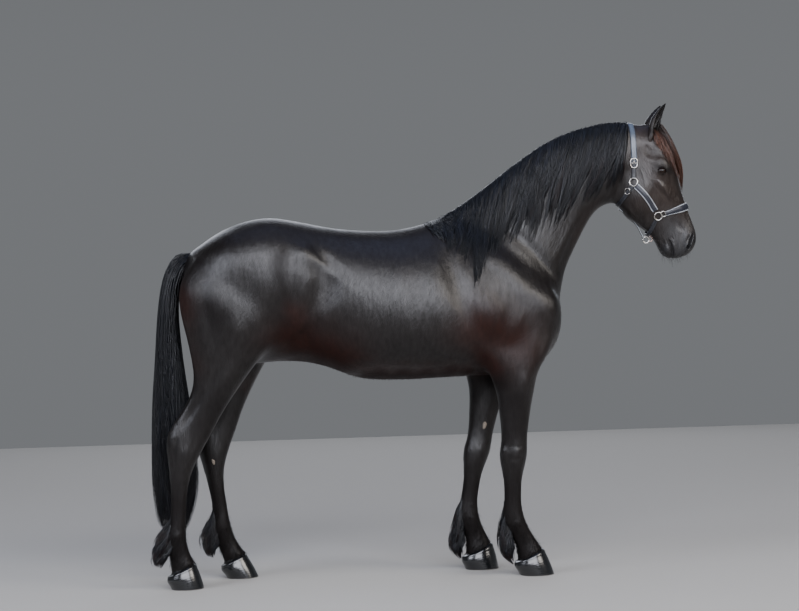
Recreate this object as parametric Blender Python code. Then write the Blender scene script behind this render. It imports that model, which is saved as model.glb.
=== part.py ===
"""A black Friesian horse in a leather head collar, standing still at life size.

Metres, +Z up, the horse faces +X and its left side is +Y. The floor is z = 0, under the middle of the horse.
The body is modelled whole, as lofts that a voxel remesh joins and strokes model further. It is symmetrical
until its left legs are set in their stance. Thin cuts then part it into the pieces that a horseman names.
"""

import math

import bmesh
import bpy
import numpy as np
from mathutils import Matrix, Vector
from mathutils.bvhtree import BVHTree

# ---------------------------------------------------------------- driving dimensions
VOXEL = 0.009  # grid of the remesh that joins the lofts
SOFTEN_FLESH, SOFTEN_ALL = 40, 4  # rounds of smoothing
GAP = 0.0004  # left between pieces that touch
CLEAR, MANE_CLEAR = 1.6 * GAP, 4 * GAP  # how far hair and head collar keep off the skin
SIDES = (("right", -1), ("left", 1))  # and the sign of y there
BODY_TRIANGLES, HEAD_TRIANGLES = 2380, 850  # of the flesh before it is parted
RING_POINTS = 56  # round each section of a loft
MANE_DEPTH = 0.019  # thickness of the hair on the crest and the side of the neck

EYE_RADIUS = 0.023
EYE_SINK = 0.0165  # how far an eye's centre lies under the skin
EYE_PLACE = (1.070, 1.788)  # x and z of the pupil

# A section of a loft: its front or upper point, its rear or lower point (x and z each), half width, where it
# is widest from the first point to the second, and the roundness of each end, where 2 is an ellipse.
# Trunk: x, top, bottom, half width, widest, roundness of the back, roundness of the belly.
TRUNK = [
    (-1.085, 1.400, 1.250, 0.050, 0.50, 2.0, 2.0),
    (-1.060, 1.458, 1.150, 0.125, 0.45, 2.0, 2.0),
    (-1.000, 1.504, 1.050, 0.205, 0.42, 2.2, 2.0),
    (-0.913, 1.560, 0.985, 0.262, 0.40, 2.4, 2.0),
    (-0.800, 1.602, 0.965, 0.290, 0.40, 2.5, 2.0),
    (-0.690, 1.616, 0.970, 0.294, 0.40, 2.4, 2.0),
    (-0.560, 1.594, 0.978, 0.280, 0.42, 2.3, 2.1),
    (-0.440, 1.569, 0.938, 0.282, 0.50, 2.2, 2.2),
    (-0.300, 1.553, 0.888, 0.306, 0.54, 2.1, 2.2),
    (-0.130, 1.552, 0.877, 0.322, 0.56, 2.0, 2.2),
    (0.030, 1.586, 0.880, 0.316, 0.58, 1.8, 2.2),
    (0.160, 1.606, 0.884, 0.292, 0.60, 1.6, 2.2),
    (0.300, 1.560, 0.886, 0.268, 0.58, 1.8, 2.2),
    (0.430, 1.460, 0.897, 0.246, 0.52, 2.0, 2.2),
    (0.525, 1.360, 0.950, 0.214, 0.50, 2.1, 2.2),
    (0.583, 1.280, 1.022, 0.160, 0.50, 2.0, 2.0),
    (0.606, 1.200, 1.100, 0.070, 0.50, 2.0, 2.0),
]
# Neck: crest x and z, throat x and z, half width, widest, roundness of crest, roundness of throat.
NECK = [
    (-0.020, 1.560, 0.420, 0.960, 0.150, 0.60, 1.7, 2.2),
    (0.080, 1.614, 0.570, 1.100, 0.168, 0.60, 1.6, 2.2),
    (0.190, 1.684, 0.612, 1.240, 0.152, 0.60, 1.6, 2.2),
    (0.300, 1.762, 0.636, 1.345, 0.130, 0.60, 1.7, 2.2),
    (0.430, 1.858, 0.671, 1.420, 0.114, 0.58, 1.8, 2.2),
    (0.570, 1.944, 0.709, 1.492, 0.102, 0.56, 1.9, 2.2),
    (0.700, 1.994, 0.746, 1.560, 0.095, 0.55, 2.0, 2.2),
    (0.820, 2.014, 0.786, 1.614, 0.090, 0.52, 2.1, 2.2),
    (0.920, 2.016, 0.828, 1.638, 0.086, 0.50, 2.1, 2.2),
    (0.990, 2.006, 0.868, 1.648, 0.080, 0.48, 2.1, 2.2),
]
# Head: face x and z, jaw x and z, half width, widest, roundness of face, roundness of jaw.
HEAD = [
    (0.955, 1.990, 0.850, 1.710, 0.070, 0.42, 2.1, 2.1),
    (1.032, 2.010, 0.870, 1.664, 0.078, 0.36, 2.2, 2.1),
    (1.080, 1.976, 0.890, 1.622, 0.090, 0.32, 2.4, 2.1),
    (1.114, 1.908, 0.910, 1.585, 0.101, 0.28, 2.6, 2.1),
    (1.140, 1.838, 0.940, 1.556, 0.103, 0.26, 2.6, 2.1),
    (1.162, 1.766, 0.974, 1.534, 0.090, 0.30, 2.4, 2.1),
    (1.183, 1.696, 1.012, 1.510, 0.074, 0.36, 2.3, 2.1),
    (1.204, 1.634, 1.040, 1.484, 0.062, 0.42, 2.3, 2.1),
    (1.224, 1.578, 1.058, 1.456, 0.056, 0.48, 2.3, 2.2),
    (1.243, 1.522, 1.070, 1.426, 0.058, 0.46, 2.4, 2.2),
    (1.247, 1.474, 1.088, 1.404, 0.057, 0.44, 2.3, 2.2),
    (1.232, 1.434, 1.116, 1.393, 0.047, 0.48, 2.2, 2.2),
    (1.208, 1.408, 1.150, 1.390, 0.026, 0.50, 2.0, 2.0),
]
# Foreleg, as the right one stands: z, front x, back x, half width, distance from the midline.
FORELEG = [
    (1.100, 0.565, 0.200, 0.070, 0.160),
    (0.990, 0.528, 0.205, 0.086, 0.168),
    (0.900, 0.474, 0.250, 0.082, 0.168),
    (0.820, 0.454, 0.280, 0.074, 0.164),
    (0.740, 0.438, 0.292, 0.064, 0.158),
    (0.650, 0.425, 0.300, 0.055, 0.152),
    (0.590, 0.421, 0.299, 0.054, 0.149),
    (0.545, 0.420, 0.292, 0.058, 0.147),
    (0.495, 0.411, 0.296, 0.054, 0.145),
    (0.450, 0.399, 0.304, 0.043, 0.143),
    (0.400, 0.393, 0.308, 0.036, 0.140),
    (0.330, 0.391, 0.308, 0.035, 0.137),
    (0.285, 0.396, 0.302, 0.038, 0.135),
    (0.238, 0.409, 0.300, 0.045, 0.133),
    (0.200, 0.427, 0.318, 0.042, 0.131),
    (0.162, 0.450, 0.344, 0.038, 0.130),
    (0.125, 0.474, 0.360, 0.045, 0.129),
    (0.100, 0.483, 0.362, 0.054, 0.128),
    (0.060, 0.486, 0.368, 0.056, 0.128),
]
# Hind leg, as the right one stands: front x and z, back x and z, half width, distance from the midline.
HINDLEG = [
    (-0.760, 1.430, -0.980, 1.470, 0.040, 0.110),
    (-0.690, 1.370, -1.040, 1.430, 0.095, 0.125),
    (-0.650, 1.290, -1.088, 1.360, 0.128, 0.138),
    (-0.640, 1.205, -1.108, 1.275, 0.142, 0.148),
    (-0.657, 1.120, -1.096, 1.175, 0.136, 0.156),
    (-0.705, 1.050, -1.077, 1.090, 0.116, 0.161),
    (-0.764, 0.975, -1.062, 1.010, 0.096, 0.162),
    (-0.824, 0.900, -1.050, 0.930, 0.080, 0.161),
    (-0.878, 0.825, -1.058, 0.860, 0.067, 0.159),
    (-0.930, 0.745, -1.092, 0.790, 0.055, 0.156),
    (-0.972, 0.668, -1.140, 0.722, 0.049, 0.154),
    (-1.008, 0.606, -1.170, 0.658, 0.052, 0.152),
    (-1.041, 0.545, -1.170, 0.585, 0.053, 0.150),
    (-1.066, 0.485, -1.163, 0.500, 0.044, 0.149),
    (-1.080, 0.420, -1.160, 0.425, 0.036, 0.148),
    (-1.087, 0.350, -1.160, 0.350, 0.035, 0.147),
    (-1.090, 0.290, -1.168, 0.285, 0.038, 0.146),
    (-1.092, 0.238, -1.186, 0.228, 0.046, 0.145),
    (-1.088, 0.192, -1.182, 0.178, 0.042, 0.145),
    (-1.075, 0.150, -1.170, 0.136, 0.040, 0.145),
    (-1.060, 0.120, -1.164, 0.096, 0.049, 0.145),
    (-1.052, 0.080, -1.162, 0.062, 0.054, 0.145),
]
# Strokes that raise (+) or press in (-) the skin, on both sides: points, reach and lift. Points of x and z act
# on the outer side of the body, and points of x, y and z act on all the skin near them.
STROKES = {
    "croup groove": ([(-1.0, 0, 1.50), (-0.86, 0, 1.59), (-0.70, 0, 1.615), (-0.56, 0, 1.60)], 0.045, -0.010),
    "back groove": ([(-0.50, 0, 1.585), (-0.20, 0, 1.555), (0.0, 0, 1.575)], 0.030, -0.005),
    "buttock cleft": ([(-1.10, 0, 1.38), (-1.09, 0, 1.20), (-1.05, 0, 1.02)], 0.050, -0.045),
    "breast groove": ([(0.62, 0, 1.26), (0.60, 0, 1.10), (0.55, 0, 0.94)], 0.034, -0.020),
    "jaw hollow": ([(0.92, 0, 1.57), (1.02, 0, 1.50)], 0.028, -0.014),
    "sheath": ([(-0.62, 0, 0.975), (-0.50, 0, 0.965)], 0.070, 0.010),
    "point of hip": ([(-0.575, 1.480), (-0.550, 1.425)], 0.055, 0.013),
    "hip ridge": ([(-0.560, 1.450), (-0.550, 1.300), (-0.600, 1.170)], 0.055, 0.006),
    "flank hollow": ([(-0.465, 1.400), (-0.470, 1.290), (-0.520, 1.190)], 0.085, -0.020),
    "flank fold": ([(-0.500, 1.140), (-0.600, 1.060), (-0.660, 1.020)], 0.045, -0.010),
    "stifle": ([(-0.705, 1.090), (-0.735, 1.050)], 0.065, 0.012),
    "thigh front": ([(-0.70, 1.360), (-0.750, 1.180)], 0.100, 0.008),
    "thigh groove": ([(-0.970, 1.440), (-1.00, 1.300), (-0.965, 1.120), (-0.940, 1.0)], 0.036, -0.007),
    "buttock": ([(-1.060, 1.340), (-1.055, 1.160)], 0.060, 0.008),
    "gaskin": ([(-0.860, 0.980), (-0.940, 0.850)], 0.060, 0.008),
    "gaskin groove": ([(-0.930, 0.970), (-1.0, 0.840)], 0.028, -0.005),
    "tendon hollow": ([(-1.005, 0.860), (-1.060, 0.770), (-1.100, 0.700)], 0.028, -0.011),
    "hock": ([(-1.070, 0.610), (-1.090, 0.570)], 0.034, 0.005),
    "hind tendon": ([(-1.133, 0.500), (-1.135, 0.300)], 0.017, -0.004),
    "fore tendon": ([(0.345, 0.440), (0.345, 0.300)], 0.016, -0.004),
    "shoulder blade": ([(0.130, 1.520), (0.300, 1.400), (0.450, 1.240)], 0.065, 0.008),
    "shoulder groove": ([(0.300, 1.590), (0.450, 1.460), (0.575, 1.310)], 0.040, -0.012),
    "point of shoulder": ([(0.500, 1.230), (0.530, 1.170)], 0.085, 0.012),
    "shoulder hollow": ([(0.350, 1.260), (0.430, 1.130)], 0.045, -0.005),
    "triceps": ([(0.220, 1.220), (0.310, 1.080)], 0.090, 0.013),
    "behind shoulder": ([(0.060, 1.460), (0.110, 1.280), (0.165, 1.100)], 0.065, -0.012),
    "elbow": ([(0.235, 0.995), (0.255, 0.955)], 0.042, 0.009),
    "forearm": ([(0.400, 0.900), (0.380, 0.780)], 0.048, 0.007),
    "knee": ([(0.362, 0.560), (0.360, 0.520)], 0.032, 0.003),
    "jugular groove": ([(0.730, 1.620), (0.660, 1.480), (0.600, 1.340)], 0.030, -0.009),
    "neck muscle": ([(0.620, 1.790), (0.420, 1.610), (0.250, 1.420)], 0.055, -0.005),
    "behind jaw": ([(0.905, 1.810), (0.880, 1.710), (0.868, 1.655)], 0.024, -0.011),
    "jowl": ([(0.960, 1.700), (0.965, 1.630)], 0.075, 0.009),
    "jowl edge": ([(1.035, 1.700), (1.020, 1.620)], 0.028, -0.005),
    "temple hollow": ([(1.012, 1.888), (1.034, 1.868)], 0.034, -0.009),
    "brow": ([(1.040, 1.826), (1.068, 1.833), (1.096, 1.812)], 0.024, 0.006),
    "eye mound": ([(1.062, 1.789), (1.078, 1.785)], 0.046, 0.012),
    "cheekbone": ([(1.030, 1.762), (1.080, 1.705), (1.130, 1.645)], 0.022, 0.006),
    "cheek hollow": ([(1.105, 1.745), (1.155, 1.655)], 0.028, -0.006),
    "nostril wing": ([(1.204, 1.500), (1.188, 1.462)], 0.032, 0.009),
    "nostril": ([(1.208, 1.492), (1.197, 1.462)], 0.014, -0.016),
    "mouth": ([(1.106, 1.472), (1.118, 1.432), (1.124, 1.396)], 0.010, -0.005),
}
# The left legs stand closer together than the right: sideways push per metre below a pivot, and its reach.
LEFT_FORE = {"pivot": 1.27, "push": -0.165, "fade": (1.28, 0.96), "x": (-0.05, 0.08, 0.60, 0.80)}
LEFT_HIND = {"pivot": 1.24, "push": 0.198, "fade": (1.26, 1.02), "x": (-1.40, -1.30, -0.72, -0.48)}

HOOF_POINTS = 16
HOOF_SQUARE = 2.3  # 2 is an ellipse
HOOF_ROWS = [(0.0, 0.0), (0.94, 1.0), (1.0, 0.97)]  # share of the way down, and how far the wall has spread
# Hoof: coronet front x and z, coronet back x and z, half width, then the same at the ground, then its offset.
HOOVES = {
    "fore": ((0.484, 0.112, 0.360, 0.058, 0.057), (0.530, 0.0, 0.374, 0.0, 0.071), 0.128),
    "hind": ((-1.056, 0.108, -1.172, 0.055, 0.055), (-1.020, 0.0, -1.164, 0.0, 0.068), 0.145),
}
# Hair behind the fetlocks: inner x and z, outer x and z, half width.
FEATHERS = {
    "fore": [
        (0.312, 0.330, 0.304, 0.334, 0.010),
        (0.325, 0.275, 0.293, 0.275, 0.026),
        (0.335, 0.215, 0.283, 0.212, 0.042),
        (0.340, 0.165, 0.277, 0.158, 0.050),
        (0.350, 0.118, 0.288, 0.104, 0.046),
        (0.354, 0.080, 0.318, 0.068, 0.030),
        (0.354, 0.055, 0.344, 0.049, 0.010),
    ],
    "hind": [
        (-1.158, 0.325, -1.168, 0.328, 0.010),
        (-1.150, 0.275, -1.196, 0.272, 0.028),
        (-1.150, 0.225, -1.234, 0.215, 0.044),
        (-1.155, 0.180, -1.250, 0.158, 0.050),
        (-1.168, 0.140, -1.242, 0.112, 0.042),
        (-1.190, 0.108, -1.218, 0.088, 0.014),
    ],
}
# Tail: front x and z, rear x and z, half width.
TAIL = [
    (-1.000, 1.425, -1.020, 1.486, 0.022),
    (-1.045, 1.400, -1.078, 1.479, 0.040),
    (-1.085, 1.350, -1.122, 1.446, 0.052),
    (-1.100, 1.280, -1.160, 1.380, 0.062),
    (-1.105, 1.200, -1.184, 1.290, 0.070),
    (-1.100, 1.100, -1.200, 1.160, 0.075),
    (-1.090, 0.980, -1.211, 1.010, 0.078),
    (-1.070, 0.820, -1.226, 0.830, 0.078),
    (-1.050, 0.640, -1.235, 0.640, 0.074),
    (-1.036, 0.480, -1.238, 0.470, 0.068),
    (-1.045, 0.370, -1.231, 0.360, 0.056),
    (-1.075, 0.270, -1.215, 0.270, 0.036),
    (-1.115, 0.205, -1.160, 0.205, 0.012),
]
# Forelock: outer x and z, inner x and z, half width.
FORELOCK = [
    (1.050, 2.034, 1.035, 1.990, 0.012),
    (1.085, 2.018, 1.055, 1.975, 0.022),
    (1.112, 1.986, 1.075, 1.950, 0.037),
    (1.138, 1.940, 1.095, 1.910, 0.050),
    (1.162, 1.885, 1.118, 1.865, 0.052),
    (1.182, 1.835, 1.138, 1.820, 0.046),
    (1.191, 1.785, 1.152, 1.775, 0.036),
    (1.190, 1.735, 1.164, 1.730, 0.022),
    (1.187, 1.697, 1.178, 1.697, 0.008),
]
# Lower edge of the mane, from the withers to the poll: x and z of each lock's tip.
MANE_TIPS = [
    (0.020, 1.520),
    (0.105, 1.410),
    (0.184, 1.285),
    (0.250, 1.390),
    (0.350, 1.475),
    (0.470, 1.490),
    (0.570, 1.535),
    (0.670, 1.632),
    (0.780, 1.684),
    (0.890, 1.735),
]
MANE_NOTCH = 0.026  # how far the gaps between its locks reach up
MANE_FRONT = (0.922, 2.100)  # where the mane ends behind the ears
MANE_REAR = (-0.045, 1.700)
MANE_DROPS = [-0.10, 0.0, 0.10, 0.40, 0.70, 1.0]  # from past the crest down to the tips
MANE_EDGE, MANE_SUNK = 0.008, 0.009  # its depth past the crest, and how far it starts under the skin
FEATHER_RIPPLE, TAIL_RIPPLE = 0.13, 0.05  # how deep the grooves between locks are, as a share

# Ear: along its length, half width and half depth. The opening looks forward and out.
EAR_ROOT = (1.040, -0.062, 1.950)
EAR_TIP = (1.108, -0.050, 2.096)
EAR_FACES = (0.78, -0.60, -0.10)
EAR_SECTIONS = [
    (-0.10, 0.020, 0.016),
    (0.12, 0.027, 0.021),
    (0.36, 0.031, 0.021),
    (0.60, 0.026, 0.016),
    (0.84, 0.014, 0.009),
    (1.00, 0.002, 0.002),
]
EAR_WALL = 0.005
EAR_WRAP = 126  # degrees that the shell wraps to each side of its back
EAR_BOW = 0.012  # how far it bows back between root and tip

# Head collar: strap width, its thickness, and its path over the right side of the head (x and z).
STRAP_THICK, STRAP_SUNK = 0.0045, 0.004
CROWN = {"width": 0.025, "x": 0.950, "centre": 1.850}
RINGS = {"upper": (0.945, 1.739), "lower": (1.055, 1.585)}
RING_RADIUS, RING_WIRE, RING_STAND = 0.018, 0.0030, 0.0025
RING_TURNS, RING_SIDES = 12, 5
CHEEK = {"width": 0.024, "points": [(0.954, 1.727), (0.980, 1.694), (1.010, 1.656), (1.044, 1.612)]}
NOSE = {"width": 0.034, "front": (1.200, 1.628)}
CHIN = {"width": 0.018, "low": (1.018, 1.500), "slack": 0.010, "ring": 0.014}
THROAT = {"width": 0.020, "top": (0.941, 1.722), "bottom": (0.884, 1.640)}
JAW_STRAP = {"width": 0.016, "points": [(0.897, 1.628), (0.935, 1.592), (0.975, 1.545), (1.003, 1.487)]}
BUCKLE = {"place": (0.949, 1.824), "width": 0.034, "height": 0.044, "wire": 0.0035}

# Each finish: colour, roughness and metallic value.
FINISHES = {
    "coat": ((0.012, 0.011, 0.012), 0.35, 0.0),
    "hair": ((0.010, 0.010, 0.013), 0.50, 0.0),
    "horn": ((0.010, 0.011, 0.014), 0.18, 0.0),
    "eye": ((0.010, 0.006, 0.004), 0.05, 0.0),
    "leather": ((0.011, 0.012, 0.018), 0.40, 0.0),
    "crown_leather": ((0.52, 0.55, 0.60), 0.32, 0.0),
    "steel": ((0.72, 0.72, 0.70), 0.20, 1.0),
}

# Thin plates that part the flesh: a point of the side view, the direction along the plate (x and z), its length
# and its breadth across the body.
PLATES = [
    ((0.885, 1.83), (0.10, 0.40), 0.62, 0.6),
    ((0.330, 1.42), (-0.52, 0.42), 1.10, 0.9),
    ((0.370, 0.868), (1.0, 0.0), 0.60, 0.7),
    ((-0.860, 0.952), (1.0, 0.10), 0.62, 0.7),
]
RAY_START = 0.24  # how far outside the head a ray for a strap starts


# ---------------------------------------------------------------- tools
def clear_scene():
    for obj in list(bpy.data.objects):
        bpy.data.objects.remove(obj, do_unlink=True)


def material(name, colour, roughness, metallic=0.0):
    mat = bpy.data.materials.new(name)
    mat.use_nodes = True
    shader = mat.node_tree.nodes["Principled BSDF"]
    shader.inputs["Base Color"].default_value = (*colour, 1.0)
    shader.inputs["Roughness"].default_value = roughness
    shader.inputs["Metallic"].default_value = metallic
    return mat


def add_object(name, mesh, mat=None):
    mesh.name = name
    obj = bpy.data.objects.new(name, mesh)
    bpy.context.collection.objects.link(obj)
    if mat:
        mesh.materials.clear()
        mesh.materials.append(mat)
    return obj


def baked(obj):
    """The mesh of an object with its modifiers applied; the object goes."""
    graph = bpy.context.evaluated_depsgraph_get()
    mesh = bpy.data.meshes.new_from_object(obj.evaluated_get(graph))
    bpy.data.objects.remove(obj, do_unlink=True)
    return mesh


def mesh_of(bm, name):
    mesh = bpy.data.meshes.new(name)
    bm.to_mesh(mesh)
    bm.free()
    return mesh


def spline(rows, count):
    """Points of a smooth curve through rows of numbers, evenly spaced by row."""
    rows = np.array(rows, float)
    last = len(rows) - 1
    padded = np.vstack([2 * rows[0] - rows[1], rows, 2 * rows[-1] - rows[-2]])
    out = []
    for place in np.linspace(0, last, count):
        i = min(int(place), last - 1)
        t = place - i
        a, b, c, d = padded[i : i + 4]
        square, cube = 2 * a - 5 * b + 4 * c - d, 3 * b - a - 3 * c + d
        out.append(0.5 * (2 * b + (c - a) * t + square * t**2 + cube * t**3))
    return np.array(out)


def step(values, start, end):
    """0 at the start and 1 at the end, with a smooth ramp between."""
    t = np.clip((values - start) / (end - start), 0, 1)
    return t * t * (3 - 2 * t)


def power(value, exponent):
    return math.copysign(abs(value) ** (2 / exponent), value)


def tube(rings, shell=False):
    """A closed mesh over rings of points. Its ends are fans, or strips where each ring goes out and back."""
    bm = bmesh.new()
    loops = [[bm.verts.new(point) for point in ring] for ring in rings]
    for low, high in zip(loops, loops[1:]):
        for i in range(len(low)):
            j = (i + 1) % len(low)
            bm.faces.new((low[i], low[j], high[j], high[i]))
    for loop in (loops[0], loops[-1]):
        if shell:
            for i in range(len(loop) // 2 - 1):
                bm.faces.new((loop[i], loop[i + 1], loop[-i - 2], loop[-i - 1]))
            continue
        middle = bm.verts.new(sum((v.co for v in loop), Vector()) / len(loop))
        for i in range(len(loop)):
            bm.faces.new((loop[i], loop[(i + 1) % len(loop)], middle))
    bmesh.ops.recalc_face_normals(bm, faces=bm.faces)
    return mesh_of(bm, "tube")


def loft(stations, count, points=RING_POINTS, strands=0, ripple=0.0):
    """A closed loft. A station is x, z, x, z, half width, widest, two roundnesses and the side offset.

    Strands of hair ripple it, more towards its end, and wind round it by a quarter turn from end to end.
    """
    rings = []
    for i, (ax, az, bx, bz, half, widest, round_a, round_b, side) in enumerate(spline(stations, count)):
        start, end = Vector((ax, side, az)), Vector((bx, side, bz))
        middle = start.lerp(end, widest)
        ring = []
        for k in range(points):
            angle = 2 * math.pi * k / points
            turn, across = math.cos(angle), math.sin(angle)
            bend = round_a if turn > 0 else round_b
            down = widest - power(turn, bend) * (widest if turn > 0 else 1 - widest)
            point = start.lerp(end, down) + Vector((0, power(across, bend) * half, 0))
            wave = 1 + ripple * (0.5 + i / count) * math.cos(strands * angle + 0.5 * math.pi * i / count)
            ring.append(middle + (point - middle) * wave)
        rings.append(ring)
    return tube(rings)


def joined(meshes):
    bm = bmesh.new()
    for mesh in meshes:
        bm.from_mesh(mesh)
    return mesh_of(bm, "joined")


def moved(mesh, matrix):
    copy = mesh.copy()
    copy.transform(matrix)
    if matrix.determinant() < 0:
        copy.flip_normals()
    return copy


def on_both_sides(right):
    """The right piece and its mirror image for the left side, with their names."""
    return (("right", right), ("left", moved(right, Matrix.Diagonal((1, -1, 1, 1)))))


def cut_away(mesh, cutters):
    """The mesh less the cutters, by exact Booleans."""
    obj = add_object("cut", mesh)
    tools = [add_object("cutter", cutter) for cutter in cutters]
    for tool in tools:
        tool.hide_render = True
        tool.display_type = "WIRE"
        modifier = obj.modifiers.new("cut", "BOOLEAN")
        modifier.operation = "DIFFERENCE"
        modifier.solver = "EXACT"
        modifier.object = tool
    result = baked(obj)
    for tool in tools:
        bpy.data.objects.remove(tool, do_unlink=True)
    return result


def trimmed(mesh, cutters):
    """The largest closed piece that is left of a mesh after the cutters."""
    return closed_piece(cut_away(mesh, cutters), 0)


def pieces(mesh):
    """The loose parts of a mesh, as lists of face indices, largest box first."""
    bm = bmesh.new()
    bm.from_mesh(mesh)
    bm.faces.ensure_lookup_table()
    seen, groups = set(), []
    for face in bm.faces:
        if face.index in seen:
            continue
        stack, group = [face], []
        seen.add(face.index)
        while stack:
            one = stack.pop()
            group.append(one.index)
            for edge in one.edges:
                for other in edge.link_faces:
                    if other.index not in seen:
                        seen.add(other.index)
                        stack.append(other)
        corners = np.array([v.co for i in group for v in bm.faces[i].verts])
        groups.append((float(np.prod(np.ptp(corners, axis=0))), group))
    bm.free()
    return [group for size, group in sorted(groups, key=lambda item: -item[0])]


def closed_piece(mesh, rank):
    """One loose part by its rank in size, with its flat faces joined where that keeps it closed."""
    keep = set(pieces(mesh)[rank])
    for flat in (0.002, 0.0):
        bm = bmesh.new()
        bm.from_mesh(mesh)
        bmesh.ops.delete(bm, geom=[f for f in bm.faces if f.index not in keep], context="FACES")
        if flat:
            bmesh.ops.dissolve_limit(bm, angle_limit=flat, verts=bm.verts, edges=bm.edges)
        bmesh.ops.triangulate(bm, faces=bm.faces)
        if all(edge.is_manifold for edge in bm.edges):
            break
    return mesh_of(bm, "piece")


def grown(mesh, distance):
    """A copy with its skin moved out by a distance."""
    bm = bmesh.new()
    bm.from_mesh(mesh)
    bm.normal_update()
    for vert in bm.verts:
        vert.co += vert.normal * distance * min(2.0, vert.calc_shell_factor())
    return mesh_of(bm, "grown")


def decimated(mesh, triangles, chosen):
    """The mesh with its chosen points thinned out, until the faces between them number so many triangles."""
    obj = add_object("decimate", mesh)
    total = sum(len(face.vertices) - 2 for face in mesh.polygons)
    thinned = sum(len(face.vertices) - 2 for face in mesh.polygons if any(chosen[i] for i in face.vertices))
    group = obj.vertex_groups.new(name="chosen")
    for value in (False, True):
        group.add([int(i) for i in np.flatnonzero(chosen == value)], float(value), "REPLACE")
    modifier = obj.modifiers.new("fewer", "DECIMATE")
    modifier.ratio = (total - thinned + triangles) / total
    modifier.use_collapse_triangulate = True
    modifier.vertex_group = group.name
    return baked(obj)


def block(low, high, matrix):
    """A box between two corners, then set in place."""
    bm = bmesh.new()
    bmesh.ops.create_cube(bm, size=1)
    middle, size = (Vector(low) + Vector(high)) / 2, Vector(high) - Vector(low)
    for vert in bm.verts:
        vert.co = Vector((vert.co.x * size.x, vert.co.y * size.y, vert.co.z * size.z)) + middle
    return moved(mesh_of(bm, "block"), matrix)


def frame_at(place, along):
    """A matrix whose x runs along a direction of the side view (x and z) and whose y stays +Y."""
    run = Vector((along[0], 0, along[1])).normalized()
    matrix = Matrix((run, (0, 1, 0), (-run.z, 0, run.x))).transposed().to_4x4()
    matrix.translation = place
    return matrix


def coordinates(mesh):
    points = np.empty(len(mesh.vertices) * 3)
    mesh.vertices.foreach_get("co", points)
    return points.reshape(-1, 3)


def set_coordinates(mesh, points):
    mesh.vertices.foreach_set("co", points.ravel())
    mesh.update()
    return mesh


# ---------------------------------------------------------------- the flesh, modelled whole
def body_lofts():
    trunk = [(x, top, x, *rest, 0.0) for x, top, *rest in TRUNK]
    fore = [(a, z, b, z, half, 0.42, 2.0, 2.1, -side) for z, a, b, half, side in FORELEG]
    hind = [(ax, az, bx, bz, half, 0.42, 2.1, 2.0, -side) for ax, az, bx, bz, half, side in HINDLEG]
    yield loft(trunk, 90)
    yield loft([(*row, 0.0) for row in NECK], 60)
    yield loft([(*row, 0.0) for row in HEAD], 70)
    for leg in (fore, hind):
        for side, mesh in on_both_sides(loft(leg, 90)):
            yield mesh


def fleshiness(points):
    """1 on the trunk, the neck and the thighs, and 0 on the head and the lower legs."""
    x, y, z = points.T
    return step(z, 0.86, 1.02) * (1 - step(x + 0.45 * (z - 1.8), 0.84, 0.93))


def headness(points):
    """1 on the head and 0 behind the jaw."""
    return step(points[:, 0] + 0.25 * (points[:, 2] - 1.8), 0.84, 0.90) * step(points[:, 2], 1.3, 1.35)


def remeshed(mesh, voxel):
    """One skin over joined lofts, softened most where flesh is thick."""
    obj = add_object("body", mesh)
    remesh = obj.modifiers.new("join", "REMESH")
    remesh.mode = "VOXEL"
    remesh.voxel_size = voxel
    obj = add_object("body", baked(obj))
    group = obj.vertex_groups.new(name="fleshy")
    for index, weight in enumerate(fleshiness(coordinates(obj.data))):
        group.add([index], float(weight), "REPLACE")
    for name, rounds in (("fleshy", SOFTEN_FLESH), ("", SOFTEN_ALL)):
        soft = obj.modifiers.new("soften", "SMOOTH")
        soft.factor = 0.5
        soft.iterations = rounds
        soft.vertex_group = name
    return baked(obj)


def distance_to_path(points, path):
    """How far each point lies from a path of straight runs."""
    best = np.full(len(points), np.inf)
    for a, b in zip(path, path[1:]):
        share = np.clip((points - a) @ (b - a) / ((b - a) @ (b - a)), 0, 1)
        best = np.minimum(best, np.linalg.norm(points - a - share[:, None] * (b - a), axis=1))
    return best


def stroked(mesh):
    """Raise and press the skin along the strokes."""
    points = coordinates(mesh)
    normals = np.empty(len(mesh.vertices) * 3)
    mesh.vertex_normals.foreach_get("vector", normals)
    normals = normals.reshape(-1, 3)
    outward = step(normals[:, 1] * np.sign(points[:, 1]), 0.05, 0.55)
    lift = np.zeros(len(points))
    for path, reach, height in STROKES.values():
        path = np.array(path, float)
        if path.shape[1] == 2:
            away, share = distance_to_path(points[:, [0, 2]], path), outward
        else:
            away, share = distance_to_path(points, path), 1.0
        lift += share * height * np.clip(1 - (away / reach) ** 2, 0, 1) ** 2
    return set_coordinates(mesh, points + normals * lift[:, None])


def stance(mesh):
    """Set the left legs where they stand, by a push that grows towards the hoof."""
    points = coordinates(mesh)
    x, y, z = points.T
    push = np.zeros(len(points))
    for leg in (LEFT_FORE, LEFT_HIND):
        rear, rear_end, front_end, front = leg["x"]
        share = step(x, rear, rear_end) * (1 - step(x, front_end, front))
        share *= step(y, 0.0, 0.06) * step(-z, -leg["fade"][0], -leg["fade"][1])
        push += share * leg["push"] * (leg["pivot"] - z)
    return set_coordinates(mesh, np.column_stack([x + push, y, z]))


def placed(side, mesh):
    """A piece of a leg where it stands."""
    return stance(mesh) if side == "left" else mesh


def flesh():
    """The whole body in few triangles, the head in finer ones than the rest."""
    whole = stance(stroked(remeshed(joined(list(body_lofts())), VOXEL)))
    whole = decimated(whole, BODY_TRIANGLES, headness(coordinates(whole)) < 0.5)
    whole = decimated(whole, HEAD_TRIANGLES, headness(coordinates(whole)) >= 0.5)
    return closed_piece(whole, 0)


def skin_tree(mesh):
    bm = bmesh.new()
    bm.from_mesh(mesh)
    tree = BVHTree.FromBMesh(bm)
    bm.free()
    return tree


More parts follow.
